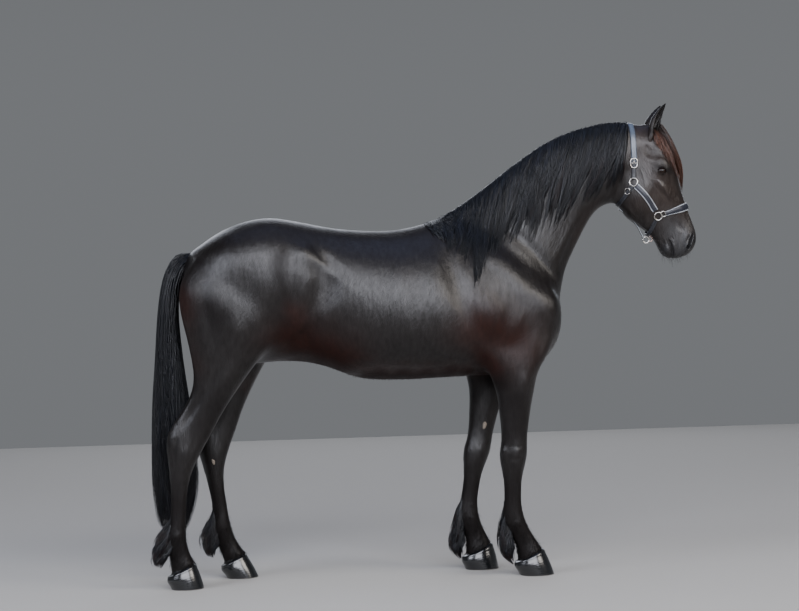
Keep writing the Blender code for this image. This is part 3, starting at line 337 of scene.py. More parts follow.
def path_shares(points, path):
    """How far each point lies from a path of straight runs, and where along it from 0 to 1."""
    best, share = np.full(len(points), np.inf), np.zeros(len(points))
    for i, (a, b) in enumerate(zip(path, path[1:])):
        along = np.clip((points - a) @ (b - a) / ((b - a) @ (b - a)), 0, 1)
        away = np.linalg.norm(points - a - along[:, None] * (b - a), axis=1)
        share = np.where(away < best, (i + along) / (len(path) - 1), share)
        best = np.minimum(best, away)
    return best, share


def stroke_lift(points, outward, path, reach, height):
    """How much one stroke raises each point: it swells in its middle and dies away to both ends."""
    curve = spline(path, 5 * len(path))
    if curve.shape[1] == 2:
        points = points[:, [0, 2]]
    else:
        outward = np.ones(len(points))
    near = np.all((points > curve.min(0) - reach) & (points < curve.max(0) + reach), axis=1)
    away, share = path_shares(points[near], curve)
    slim = min(1.0, np.linalg.norm(np.diff(curve, axis=0), axis=1).sum() / (3 * reach))
    swell = 1 - 0.8 * slim * (1 - np.sin(math.pi * share) ** 0.7)
    lift = np.zeros(len(points))
    fall = np.clip(1 - (away / reach / (0.6 + 0.4 * swell)) ** 2, 0, 1) ** 2
    lift[near] = outward[near] * height * swell * fall
    return lift


def stroked(mesh, strokes, everywhere=False):
    """Raise and press the skin along strokes, on the outer side of the body or everywhere near them."""
    points, normals = read(mesh), read(mesh, "vertex_normals", "vector")
    outward = step(normals[:, 1] * np.sign(points[:, 1]), 0.05, 0.55)
    if everywhere:
        outward = np.ones(len(points))
    lift = sum(stroke_lift(points, outward, *stroke) for stroke in strokes)
    set_points(mesh, points + normals * lift[:, None])


def stance(points):
    """Set the left legs where they stand, by a push that grows towards the hoof."""
    x, y, z = points.T
    push = np.zeros(len(points))
    for leg in (LEFT_FORE, LEFT_HIND):
        rear, rear_end, front_end, front = leg["x"]
        share = step(x, rear, rear_end) * (1 - step(x, front_end, front))
        share *= step(y, 0.0, 0.06) * step(-z, -leg["fade"][0], -leg["fade"][1])
        push += share * leg["push"] * (leg["pivot"] - z)
    return np.column_stack([x + push, y, z])


TRUNK_RINGS, NECK_RINGS, HEAD_RINGS, LEG_RINGS = 90, 60, 70, 90


def body_lofts():
    trunk = [(x, top, x, *rest, 0.0) for x, top, *rest in TRUNK]
    fore = [(a, z, b, z, half, 0.42, 2.0, 2.1, -side) for z, a, b, half, side in np.array(FORELEG) / 1000]
    hind = [(*row, 0.42, 2.1, 2.0, -side) for *row, side in np.array(HINDLEG) / 1000]
    yield loft(trunk, TRUNK_RINGS)
    yield loft([(*row, 0.0) for row in NECK], NECK_RINGS)
    yield loft([(*row, 0.0) for row in HEAD], HEAD_RINGS)
    for leg in (fore, hind):
        right = loft(leg, LEG_RINGS)
        yield right
        yield mirrored(right)


def finer(mesh, chosen):
    """Split the edges between the chosen points in two."""
    bm = bmesh.new()
    bm.from_mesh(mesh)
    bm.verts.ensure_lookup_table()
    edges = [edge for edge in bm.edges if all(chosen[v.index] for v in edge.verts)]
    bmesh.ops.subdivide_edges(bm, edges=edges, cuts=1, use_grid_fill=True)
    bmesh.ops.triangulate(bm, faces=[face for face in bm.faces if len(face.verts) > 4])
    return mesh_of(bm, "finer")


def skin_tree(mesh):
    bm = bmesh.new()
    bm.from_mesh(mesh)
    tree = BVHTree.FromBMesh(bm)
    bm.free()
    return tree


def beside(tree, x, z, sign=-1):
    """The point of the skin at x and z on one side of the animal, and its normal."""
    return tree.ray_cast(Vector((x, sign, z)), Vector((0, -sign, 0)))[:2]


def softened(mesh):
    """Smooth the joined lofts, most where flesh is thick."""
    points, edges = read(mesh), read(mesh, "edges", "vertices", 2, np.int32)
    x, y, z = points.T
    flesh = step(z, 0.86, 1.02) * (1 - step(x + 0.45 * (z - 1.8), 0.84, 0.93))
    points = relaxed(points, edges, 0.5 * flesh[:, None], SOFT_ROUNDS["flesh"])
    set_points(mesh, relaxed(points, edges, 0.5, SOFT_ROUNDS["bone"]))
    return mesh


whole = add_object("whole", joined(list(body_lofts())))
remesh = whole.modifiers.new("join", "REMESH")
remesh.mode = "VOXEL"
remesh.voxel_size = GRID
skin = softened(baked(whole))
stroked(skin, [*marks(MIDLINE.values(), 1000, midline=True), *marks(STROKES.values(), 1000)])
stroked(skin, marks(FOLDS["body"], 1000))
points, edges = read(skin), read(skin, "edges", "vertices", 2, np.int32)
x, y, z = points.T
flesh = step(z, 0.7, 1.0) * (1 - step(x + 0.45 * (z - 1.8), 0.8, 0.9))
points = relaxed(points, edges, 0.5 * flesh[:, None], 9)
set_points(skin, relaxed(points, edges, 0.5, 2))

# Finer points on the head and the lower legs, and finer still round the eyes, the nostrils and the lips.
EYE_PATH = [(1.06, 1.789), (1.08, 1.785)]
NOSTRIL = [(1.217, 1.499), (1.2135, 1.485), (1.203, 1.463), (1.195, 1.441)]
DETAILS = [(EYE_PATH, 0.052), (NOSTRIL, 0.03), (LIPS[0], 0.014)]


def near_details(points, level):
    """The points of the skin that need a finer grid at one level."""
    x, y, z = points.T
    if level == 0:
        return ((x + 0.25 * (z - 1.8) > 0.86) & (z > 1.33)) | (z < 0.66)
    chosen = (x > 0.95) & (z > 1.33)
    if level == 2:
        near = [path_shares(points[:, [0, 2]], np.array(path))[0] < reach for path, reach in DETAILS]
        chosen &= np.any(near, axis=0)
    return chosen


for level in range(3):
    skin = finer(skin, near_details(read(skin), level))
    points, edges = read(skin), read(skin, "edges", "vertices", 2, np.int32)
    fine = near_details(points, 0)[:, None]
    set_points(skin, relaxed(points, edges, 0.5 * fine, 4))
    if level < 2:
        stroked(skin, marks(FOLDS[("legs", "head")[level]], 1000))
stroked(skin, [LIPS, LIP_ROLLS], everywhere=True)
# The shape of the right side, before the left legs are set and the coat's depth is taken.
form = skin_tree(skin)


def turned(vector, axis):
    """The part of a vector that lies square to an axis, at unit length."""
    return (vector - axis * vector.dot(axis)).normalized()


class Spot:
    """A place on the head with its own axes: forward along the head, up, and out of the skin."""

    def __init__(self, middle, out, tilt):
        self.middle, self.out = Vector(middle), Vector(out).normalized()
        self.ahead = turned(Vector((math.cos(tilt), 0, -math.sin(tilt))), self.out)
        self.up = turned(Vector((math.sin(tilt), 0, math.cos(tilt))), self.out)
        self.up = turned(self.up, self.ahead)

    def local(self, points):
        away = points - np.array(self.middle)
        return [away @ np.array(axis) for axis in (self.ahead, self.up, self.out)]

    def world(self, ahead, up, out):
        pairs = (ahead, self.ahead), (up, self.up), (out, self.out)
        return np.array(self.middle) + sum(np.multiply.outer(np.asarray(a), np.array(b)) for a, b in pairs)


# Eyes lie in the orbit with only their front bare. The lids are skin that slides on the ball.
EYE_TILT = math.radians(20)
EYE_HALF, EYE_ABOVE, EYE_BELOW = 0.019, 0.0118, 0.0105  # of the opening between the lids
LID_THICK, LID_SUNK = 0.0024, 0.0045
LID_FOLDS = [(0.0052, 0.0014, -0.0016, 1), (0.0098, 0.0018, -0.0013, 1), (0.015, 0.0024, -0.0012, 1),
             (0.0058, 0.0015, -0.0011, -1), (0.0105, 0.002, -0.0009, -1)]


def eye_spot(side, sign):
    low, high = (Vector(corner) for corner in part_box(f"eye_{side}"))
    spot = Spot((low + high) / 2, beside(form, 1.07, 1.788, sign)[1], EYE_TILT)
    spot.radius = (high.x - low.x) / 2
    return spot


def lid_edge(ahead, up):
    """How far outside the opening between the lids a point lies."""
    share = ahead / EYE_HALF
    above = EYE_ABOVE * (1 - np.abs(share) ** 2.3)
    below = -EYE_BELOW * (1 - np.abs(share) ** 1.9)
    return np.maximum(np.maximum(up - above, below - up), (np.abs(ahead) - EYE_HALF) * 0.8)


def lidded(points, spot):
    ahead, up, out = spot.local(points)
    flat = np.hypot(ahead, up)
    near = (flat < 0.04) & (out > 0)
    edge = lid_edge(ahead, up)
    ball = np.sqrt(np.clip(spot.radius**2 - flat**2, 0, None))
    lid = np.sqrt(np.clip((spot.radius + LID_THICK) ** 2 - flat**2, 0, None))
    soft = 0.0022
    over = np.maximum(out, lid) + soft * np.exp(-np.abs(out - lid) / soft) * 0.35
    for place, wide, lift, which in LID_FOLDS:
        lid_side = step(np.sign(up + 0.3 * ahead) * which, -0.5, 0.5)
        over += lift * np.exp(-((edge - place) / wide) ** 2) * lid_side
    over += 0.0007 * np.exp(-((edge - 0.0012) / 0.0012) ** 2)
    bare = step(-edge, -0.0002, 0.0011)
    level = over * (1 - bare) + (ball - LID_SUNK) * bare
    fade = 1 - step(flat, 0.028, 0.04)
    change = np.where(near, (level - out) * fade, 0)
    return points + np.outer(change, np.array(spot.out))


# The nostrils are commas that open down and back, with a thick soft wing behind and a thin one in front.
def hollowed(points, path, wide, deep, rim, inward):
    """Press a hollow that widens along a path into the skin, and raise a soft rim round it."""
    away, share = path_shares(points, path)
    wide = wide[0] + (wide[1] - wide[0]) * share
    slot = deep * step(wide - away, -0.0005, 0.005)
    lip = rim * np.exp(-((away - wide - 0.004) / 0.0042) ** 2)
    return points + np.outer(slot - lip, inward)


points = read(skin)
eyes = {}
for side, sign in SIDES:
    eyes[side] = eye_spot(side, sign)
    points = lidded(points, eyes[side])
    path = np.array([beside(form, x, z, sign)[0] for x, z in NOSTRIL])
    inward = Vector((-0.45, -sign * 0.88, 0.3)).normalized()
    points = hollowed(points, path, (0.0036, 0.0086), 0.02, 0.0034, np.array(inward))
set_points(skin, points)
points = points - read(skin, "vertex_normals", "vector") * COAT_DEPTH
set_points(skin, points)


# Ears are cartilage cups under thin skin, bare at the edge and furred inside. They are joined to the scalp.
EAR = {"root": (1.04, -0.062, 1.95), "tip": (1.108, -0.05, 2.0945), "faces": (0.78, -0.6, -0.1)}
EAR_SECTIONS = [
    (-0.28, 0.012, 0.01, 150), (-0.14, 0.02, 0.017, 150), (0.0, 0.025, 0.02, 142),
    (0.12, 0.0272, 0.0212, 132), (0.26, 0.03, 0.0215, 124), (0.42, 0.03, 0.02, 118),
    (0.58, 0.0262, 0.016, 114), (0.72, 0.0205, 0.0125, 110), (0.84, 0.0138, 0.009, 106),
    (0.93, 0.0078, 0.006, 102), (1.0, 0.0022, 0.0022, 100),
]
EAR_WALL, EAR_BOW, EAR_TURNS = 0.0042, 0.012, 22


def ear():
    """The right ear: a cup that is rolled nearly shut at its root and opens upwards."""
    root, tip = Vector(EAR["root"]), Vector(EAR["tip"])
    up = (tip - root).normalized()
    face = turned(Vector(EAR["faces"]), up)
    across = up.cross(face)
    rings = []
    for share, half, depth, wrap in spline(EAR_SECTIONS, 34):
        middle = root.lerp(tip, share) - face * EAR_BOW * math.sin(math.pi * max(share, 0))
        wall = min(EAR_WALL, 0.42 * depth)
        turns = np.radians(np.linspace(-wrap, wrap, EAR_TURNS))
        ring = [middle - face * depth * math.cos(a) + across * half * math.sin(a) for a in turns]
        for a in reversed(turns[1:-1]):
            inward = -face * 0.94 * (depth - wall) * math.cos(a)
            ring.append(middle + inward + across * 0.96 * (half - wall) * math.sin(a))
        rings.append(ring)
    return tube(rings)


def united(mesh, others):
    """The mesh joined with others by exact Booleans."""
    obj = add_object("united", mesh)
    tools = [add_object("other", other) for other in others]
    for tool in tools:
        modifier = obj.modifiers.new("unite", "BOOLEAN")
        modifier.operation = "UNION"
        modifier.solver = "EXACT"
        modifier.object = tool
    result = baked(obj)
    for tool in tools:
        bpy.data.objects.remove(tool, do_unlink=True)
    return result


right_ear = ear()
ears = [right_ear, mirrored(right_ear)]
skin = united(skin, [mesh.copy() for mesh in ears])
points, edges = read(skin), read(skin, "edges", "vertices", 2, np.int32)
base = np.array([EAR["root"]]) + 0.1 * (np.array([EAR["tip"]]) - np.array([EAR["root"]]))
flat = np.column_stack([points[:, 0], -np.abs(points[:, 1]), points[:, 2]])
joint = 1 - step(np.abs((flat - base) @ np.array([0.42, 0.08, 0.9])), 0.006, 0.022)
joint *= 1 - step(np.linalg.norm(flat - base, axis=1), 0.034, 0.046)
set_points(skin, stance(relaxed(points, edges, 0.5 * joint[:, None], 8)))


# Sleek black summer coat over dark skin: a soft gloss that follows the lie of the hair, a red-brown glow
# where the hair is thin or sun-bleached, brown on the face, grey where the muzzle's skin shows through,
# and painted shade in the temple hollows, inside the nostrils and along the line of the mouth.
def linear(hexes):
    """A colour of a shader from sRGB hex digits."""
    values = [int(hexes[i : i + 2], 16) / 255 for i in (0, 2, 4)]
    return tuple(v / 12.92 if v <= 0.04045 else ((v + 0.055) / 1.055) ** 2.4 for v in values) + (1.0,)


def plug(tree, node, inputs):
    """Set inputs of a node (colours in hex), or link them to a socket or a node's first output in use."""
    for name, value in inputs.items():
        if isinstance(value, str):
            value = linear(value)
        if isinstance(value, bpy.types.Node):
            value = next(socket for socket in value.outputs if socket.enabled)
        if isinstance(value, bpy.types.NodeSocket):
            tree.links.new(value, node.inputs[name])
        else:
            node.inputs[name].default_value = value


def add_node(tree, kind, settings=None, inputs=None):
    """Add a shader node, set its properties, and set or link its inputs."""
    node = tree.nodes.new("ShaderNode" + kind)
    for name, value in (settings or {}).items():
        setattr(node, name, value)
    plug(tree, node, inputs or {})
    return node


def new_material(name):
    """A material with one shader: the material, its nodes and the shader."""
    material = bpy.data.materials.new(name)
    material.use_nodes = True
    return material, material.node_tree, material.node_tree.nodes["Principled BSDF"]


def blob(points, path, reach):
    """1 on a path, fading softly to a tenth at its reach, on both sides of the animal."""
    away = path_shares(points[:, [0, 2]], np.array(path, float))[0]
    return np.exp(-2.2 * (away / reach) ** 2)


# Where the coat has a look of its own, and where shade is painted into it: x and z of each point and a
# reach, in mm, then the strength.
COAT_FIELDS = {
    "brown": [  # where the coat glows red-brown
        (-600, 1050, -420, 980, 190, 1.0), (-610, 1200, -560, 1060, 80, 0.9),
        (-1120, 1280, -1100, 980, 90, 0.9), (220, 1120, 360, 1050, 190, 0.9),
        (200, 1020, 240, 920, 90, 0.8), (-400, 920, 150, 900, 80, 0.8), (800, 1620, 700, 1500, 60, 0.3),
        (-640, 1020, -800, 860, 60, 0.5),
    ],
    "matt": [  # where the hair lies less close and hardly shines
        (-620, 1100, -420, 980, 170, 1.0), (-1130, 1220, -1120, 980, 90, 0.9),
        (240, 1130, 380, 1060, 160, 0.9), (-1060, 1270, -930, 1200, 110, 0.85),
        (-655, 1460, -640, 1220, 55, 0.65), (-840, 1560, -400, 1520, 60, 1520, 70, 0.5),
        (220, 980, 300, 860, 100, 1.0), (-300, 890, 150, 880, 60, 0.9), (360, 800, 360, 620, 90, 0.7),
        (-950, 800, -1050, 700, 100, 0.5), (1046, 1800, 1092, 1775, 40, 0.8),
        (990, 1880, 1070, 1840, 50, 0.5), (1050, 1965, 1100, 2080, 60, 0.8),
        (1120, 1440, 1200, 1520, 80, 0.45),
    ],
    "face": [(1000, 1920, 1060, 1700, 1140, 1600, 160, 1.0), (1000, 1660, 1001, 1660, 100, 0.7)],
    "grey": [(1130, 1540, 1170, 1460, 100, 1.0), (1100, 1440, 1101, 1440, 60, 0.8)],
    # darker coat round the eyes and on the ears, and painted shade in the temple hollows, inside the
    # nostrils and along the mouth line
    "dark": [
        (1016, 1876, 1034, 1862, 40, 0.3), (1046, 1800, 1092, 1775, 38, 1.0),
        (1050, 1970, 1100, 2080, 50, 0.9), (1218, 1496, 1196, 1436, 16, 0.9),
        (1106, 1476, 1126, 1400, 8, 0.8),
    ],
}


def markings(points):
    """How brown, how matt, how grey and how dark the coat is at points of the body, in uneven patches. Dark
    is partly painted shade, in the temple hollows, the nostrils and the mouth line.
    """
    fields = {}
    points = (points + 0.014 * np.sin(23 * points[:, [2, 0, 1]] + 1.7)
              + 0.006 * np.sin(61 * points[:, [1, 2, 0]]))
    for name, spots in COAT_FIELDS.items():
        total = np.zeros(len(points))
        for path, reach, strength in marks(spots):
            total = np.maximum(total, strength * blob(points, path, reach))
        fields[name] = total
    fields["matt"] = np.maximum(fields["matt"], 0.85 * step(-points[:, 2], -0.5, -0.36))
    return fields


# The lie turns on a line from the poll to the throat, which the head collar covers.
LIE_TURNS = [(1.62, 0.878), (1.704, 0.916), (1.739, 0.942), (2.05, 0.945)]


def on_head(points):
    return points[:, 0] > np.interp(points[:, 2], *np.transpose(LIE_TURNS))


def lie(points):
    """Which way the hair lies at points of the body, as unit vectors."""
    down = step(-points[:, 2], -1.15, -0.45)[:, None]
    way = np.array([(-0.5, 0.0, -0.87)]) * (1 - down) + np.array([(-0.1, 0.0, -1.0)]) * down
    way[on_head(points)] = (0.3, 0.0, -0.95)
    return unit(way)


def add_values(mesh, **fields):
    """Keep values for the points of a mesh as named attributes."""
    for name, values in fields.items():
        kind, field = ("FLOAT_VECTOR", "vector") if np.ndim(values) == 2 else ("FLOAT", "value")
        data = mesh.attributes.new(name, kind, "POINT").data
        data.foreach_set(field, np.ascontiguousarray(values).ravel())


PATTERN_MIDDLE = (-0.3, 0.0, 0.8)  # the pattern is drawn out least near this place


def hair_space(points):
    """Places for the pattern of the coat: across the hair, along it, and through it."""
    way = lie(points)
    side = np.cross(way, (0, 1, 0))
    side = unit(side)
    here = points - np.array(PATTERN_MIDDLE)
    across = np.einsum("ij,ij->i", here, side)
    along = np.einsum("ij,ij->i", here, way)
    return np.column_stack([across, along, points[:, 1]])


# Hairs are 0.06 mm across and 8 mm long; they are drawn as strands 3 mm across and 30 mm long to show.
STRAND_WIDE, STRAND_LONG = 0.003, 0.03


def sleek_coat():
    material, tree, shader = new_material("black_horse_coat_sleek")
    values = {name: add_node(tree, "Attribute", {"attribute_name": name}).outputs["Fac"]
              for name in COAT_FIELDS}
    place = add_node(tree, "Attribute", {"attribute_name": "hair"}).outputs["Vector"]
    strands = add_node(tree, "Mapping", {},
                       {"Vector": place, "Scale": (1 / STRAND_WIDE, 1 / STRAND_LONG, 1 / (3 * STRAND_WIDE))})
    fine = add_node(tree, "TexNoise", {}, {"Vector": strands, "Scale": 1.0, "Detail": 3.0})
    body = add_node(tree, "TexCoord").outputs["Object"]
    clumps = add_node(tree, "Mapping", {}, {"Vector": body, "Scale": (58.0, 40.0, 22.0)})
    broad = add_node(tree, "TexNoise", {}, {"Vector": clumps, "Scale": 1.0, "Detail": 4.0})
    black = add_node(tree, "Mix", {"data_type": "RGBA"}, {"Factor": fine, "A": "050404", "B": "120d0c"})
    colour = black
    # the dark tint darkens the skin round the eyes and the ears, and paints shade into the temple hollows,
    # the nostrils and the mouth line
    for name, tint, share in (("brown", "26100a", 0.9), ("face", "2a201b", 0.8), ("grey", "2f3032", 0.8),
                              ("dark", "060506", 0.9)):
        noisy = add_node(tree, "MapRange", {"clamp": True},
                         {"Value": broad, "From Min": 0.25, "From Max": 0.75, "To Min": 0.55 * share,
                          "To Max": share})
        amount = add_node(tree, "Math", {"operation": "MULTIPLY"}, {0: values[name], 1: noisy})
        mixed = add_node(tree, "Mix", {"data_type": "RGBA"}, {"Factor": amount, "A": colour, "B": tint})
        colour = mixed
    rough = add_node(tree, "MapRange", {}, {"Value": broad, "To Min": 0.26, "To Max": 0.5})
    shine = add_node(tree, "MapRange", {},
                     {"Value": broad, "From Min": 0.3, "From Max": 0.7, "To Min": 0.44, "To Max": 0.74})
    close = add_node(tree, "Mix", {"data_type": "FLOAT"},
                     {"Factor": values["matt"], "A": shine, "B": 0.04})
    bump = add_node(tree, "Bump", {}, {"Height": fine, "Strength": 0.8, "Distance": 0.002})
    soft = add_node(tree, "Bump", {},
                    {"Height": broad, "Strength": 0.3, "Distance": 0.005, "Normal": bump})
    dull = add_node(tree, "Mix", {"data_type": "FLOAT"}, {"Factor": values["matt"], "A": rough, "B": 0.8})
    plug(tree, shader, {"Base Color": colour, "Roughness": dull,
                        "Normal": soft, "Coat Weight": close,
                        "Coat Normal": soft, "IOR": 1.55, "Specular IOR Level": 0.1,
                        "Coat Roughness": 0.31})
    return material


def add_piece(name, mesh, material, slot, *replaced):
    """Add a piece that is fixed to the body, with its material, and hide the solids that it stands for; its
    slot is not used.
    """
    piece = add_object(name, mesh, material)
    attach(piece, "root")
    if replaced:
        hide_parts(*replaced)


coat = sleek_coat()
points = read(skin)
add_values(skin, hair=hair_space(points), **markings(points))
limbs = [f"{leg}_{side}" for leg in ("foreleg", "hindleg", "ear") for side, sign in SIDES]
add_piece("hide", skin, coat, "coat", "head", "neck", "trunk", *limbs)


# ---------------------------------------------------------------- eyes
# Wet balls of about 46 mm deep in the orbits: a dark brown iris with a level oval pupil under a clear
# cornea, which stands a little proud. Lashes fringe the upper lid.
EYE_TURNS, EYE_ROWS, CORNEA = 64, 40, 0.0011


def eyeball(spot):
    """A ball whose rows run round the line of sight, with the cornea's bulge in front."""
    rings, around = [], []
    for row in range(1, EYE_ROWS):
        angle = math.pi * row / EYE_ROWS
        radius = spot.radius - 0.0002 + CORNEA * max(math.cos(min(angle * 2.1, math.pi / 2)), 0) ** 1.2
        turns = np.linspace(0, 2 * math.pi, EYE_TURNS, endpoint=False)
        local = (radius * math.sin(angle) * np.cos(turns), radius * math.sin(angle) * np.sin(turns))
        ring = spot.world(*local, np.full(EYE_TURNS, radius * math.cos(angle)))
        rings.append([Vector(point) for point in ring])
    mesh = tube(rings)
    ahead, up, out = spot.local(read(mesh))
    add_values(mesh, sight=np.column_stack([ahead, up, out]) / spot.radius)
    return mesh


# The clear front is like polished glass over a deep brown iris with fine fibres, near black at its rim.
def wet_eye():
    material, tree, shader = new_material("wet_dark_brown_eye")
    sight = add_node(tree, "Attribute", {"attribute_name": "sight"}).outputs["Vector"]
    flat = add_node(tree, "Mapping", {}, {"Vector": sight, "Scale": (1.0, 1.0, 0.0)})
    away = add_node(tree, "VectorMath", {"operation": "LENGTH"}, {0: flat})
    squeezed = add_node(tree, "Mapping", {}, {"Vector": sight, "Scale": (1.0, 2.0, 0.0)})
    pupil = add_node(tree, "VectorMath", {"operation": "LENGTH"}, {0: squeezed})
    fibres = add_node(tree, "TexNoise", {}, {"Vector": sight, "Scale": 14.0, "Detail": 5.0})
    iris = add_node(tree, "Mix", {"data_type": "RGBA"}, {"Factor": fibres, "A": "0e0705", "B": "1d0f09"})
    rim = add_node(tree, "MapRange", {"interpolation_type": "SMOOTHSTEP"},
                   {"Value": away, "From Min": 0.62, "From Max": 0.78})
    edged = add_node(tree, "Mix", {"data_type": "RGBA"}, {"Factor": rim, "A": iris, "B": "080505"})
    hole = add_node(tree, "MapRange", {"interpolation_type": "SMOOTHSTEP"},
                    {"Value": pupil, "From Min": 0.36, "From Max": 0.3})
    colour = add_node(tree, "Mix", {"data_type": "RGBA"}, {"Factor": hole, "A": edged, "B": "020204"})
    plug(tree, shader, {"Base Color": colour, "Roughness": 0.06, "IOR": 1.38,
                        "Specular IOR Level": 0.3, "Coat Weight": 0.15, "Coat Roughness": 0.02})
    return material


wet = wet_eye()
for side, sign in SIDES:
    add_piece(f"eyeball_{side}", eyeball(eyes[side]), wet, "eye", f"eye_{side}")


# ---------------------------------------------------------------- hooves
# Horn boxes that grow down from the coronet in fine rings, trimmed flat for the ground and dressed with oil.
# The wall leans out to the toe, the heels are low and the rim is a thin paler line.
HOOF_TURNS, HOOF_DOWN = 96, 26
HOOF_SQUARE = 2.05
HOOVES = {
    "fore": ((0.484, 0.112, 0.36, 0.058, 0.057), (0.53, 0.0, 0.374, 0.0, 0.071), 0.128),
    "hind": ((-1.056, 0.108, -1.172, 0.055, 0.055), (-1.02, 0.0, -1.164, 0.0, 0.068), 0.145),
}


def hoof(which):
    """A right hoof: domed top, rolled coronet, ringed wall, level rim and a hollow sole."""
    (top_front, top_front_z, top_back, top_back_z, top_half), (toe, _, heel, _, half), side = HOOVES[which]
    turns = np.linspace(0, 2 * math.pi, HOOF_TURNS, endpoint=False)
    front = (1 + np.cos(turns)) / 2
    across = np.array([power(math.sin(turn), HOOF_SQUARE) for turn in turns])
    cleft = 1 - 0.045 * np.exp(-((turns - math.pi) / 0.16) ** 2)
    height = top_back_z + (top_front_z - top_back_z) * front
    top = np.column_stack([top_back + (top_front - top_back) * front, top_half * across - side, height])
    ground = np.column_stack([heel + (toe - heel) * front, half * across - side, np.zeros(HOOF_TURNS)])
    ground[:, 0] = (ground[:, 0] - toe) * cleft + toe
    middle = np.array([(heel + toe) / 2, -side, 0.0])
    rings, downs = [], []
    for share, rise in ((0.3, 0.022), (0.62, 0.018), (0.84, 0.01)):
        inner = top.mean(axis=0) + (top - top.mean(axis=0)) * share
        inner[:, 2] = top[:, 2] * share + top[:, 2].mean() * (1 - share) + rise
        rings.append([Vector(point) for point in inner])
        downs.append(0.0)
    for down in np.concatenate([[-0.1, -0.06, -0.02], np.linspace(0.02, 0.985, HOOF_DOWN), [1.0]]):
        ring = top + (ground - top) * down
        axis = np.array([(top_front + top_back) / 2, -side, 0.0]) * (1 - down) + middle * down
        out = ring - axis
        out[:, 2] = 0
        out = unit(out)
        roll = 0.0012 * math.exp(-((down - 0.05) / 0.055) ** 2) - 0.006 * max(-down, 0) / 0.05
        belly = 0.0034 * math.sin(math.pi * min(max(down, 0), 1))
        heel_bulb = 0.01 * (1 - front) ** 2.2 * math.exp(-((down - 0.3) / 0.34) ** 2)
        rings_here = 0.00022 * np.sin(2 * math.pi * (9.5 * down + 0.35 * np.sin(turns))) * (down > 0.08)
        rim = -0.0022 * (down > 0.99)
        ring = ring + out * (roll + belly + heel_bulb + rings_here + rim)[:, None]
        rings.append([Vector(point) for point in ring])
        downs.append(down)
    base = np.array([list(point) for point in rings[-1]])
    for share, rise in ((0.9, 0.0), (0.87, 0.0035), (0.6, 0.007), (0.25, 0.0085)):
        inner = middle + (base - middle) * share
        inner[:, 2] = rise
        rings.append([Vector(point) for point in inner])
        downs.append(1.2)
    mesh = tube(rings)
    place = np.repeat(downs, HOOF_TURNS)
    add_values(mesh, down=np.concatenate([place, np.zeros(len(mesh.vertices) - len(place))]))
    return mesh


# Oiled horn shines like lacquer: black with a blue-grey cast, faint rings across and tubules down the wall.
def oiled_horn():
    material, tree, shader = new_material("oiled_black_hoof_horn")
    down = add_node(tree, "Attribute", {"attribute_name": "down"}).outputs["Fac"]
    place = add_node(tree, "TexCoord").outputs["Object"]
    # Tubules are 0.2 mm across; they are drawn 1 mm across and 25 mm long to show.
    tubules = add_node(tree, "Mapping", {}, {"Vector": place, "Scale": (1000.0, 1000.0, 40.0)})
    grain = add_node(tree, "TexNoise", {}, {"Vector": tubules, "Scale": 1.0, "Detail": 2.0})
    rings = add_node(tree, "Mapping", {}, {"Vector": place, "Scale": (12.0, 12.0, 150.0)})
    bands = add_node(tree, "TexNoise", {}, {"Vector": rings, "Scale": 1.0, "Detail": 3.0})
    horn = add_node(tree, "Mix", {"data_type": "RGBA"}, {"Factor": bands, "A": "040506", "B": "0c0e12"})
    rim = add_node(tree, "MapRange", {"interpolation_type": "SMOOTHSTEP"},
                   {"Value": down, "From Min": 0.955, "From Max": 0.995, "To Max": 0.75})
    worn = add_node(tree, "Mix", {"data_type": "RGBA"}, {"Factor": rim, "A": horn, "B": "8d8a84"})
    rough = add_node(tree, "MapRange", {}, {"Value": bands, "To Min": 0.16, "To Max": 0.3})
    bump = add_node(tree, "Bump", {}, {"Height": bands, "Strength": 0.1, "Distance": 0.002})
    fine = add_node(tree, "Bump", {},
                    {"Height": grain, "Strength": 0.15, "Distance": 0.0006, "Normal": bump})
    plug(tree, shader, {"Base Color": worn, "Roughness": rough,
                        "Normal": fine, "IOR": 1.54, "Coat Weight": 0.7,
                        "Coat Roughness": 0.16})
    return material


def on_side(mesh, sign):
    """A mesh of the right legs as it is, or set over to where the left legs stand."""
    if sign > 0:
        mesh = mirrored(mesh)
        set_points(mesh, stance(read(mesh)))
    return mesh


horn = oiled_horn()
for which in HOOVES:
    for side, sign in SIDES:
        mesh = on_side(hoof(which), sign)
        add_piece(f"hoof_{which}_{side}_horn", mesh, horn, "hoof_horn", f"hoof_{which}_{side}")


# ---------------------------------------------------------------- chestnuts
# Small dry calluses of grey horn that lie flat on the inner side of each leg, above the knee and below the
# hock, fixed to the skin.
CHESTNUT_DOME = (1.0, -0.004), (1.0, 0.0), (0.94, 0.0016), (0.75, 0.0027), (0.45, 0.0034), (0.12, 0.0036)
CHESTNUTS = {"fore": (0.368, 0.655, 0.017, 0.009), "hind": (-1.108, 0.528, 0.013, 0.007)}


def chestnut(x, z, tall, wide):
    spot, out, _, _ = form.ray_cast(Vector((x, 0.0, z)), Vector((0, -1, 0)))
    side = out.cross(Vector((0, 0, 1))).normalized()
    up = side.cross(out)
    rings = []
    for share, rise in CHESTNUT_DOME:
        ring = []
        for turn in np.linspace(0, 2 * math.pi, 32, endpoint=False):
            edge = share * (1 + 0.07 * math.sin(3 * turn + 1) + 0.05 * math.sin(5 * turn))
            ring.append(spot + up * (tall * edge * math.sin(turn))
                        + side * (wide * edge * math.cos(turn)) + out * rise)
        rings.append(ring)
    return tube(rings)


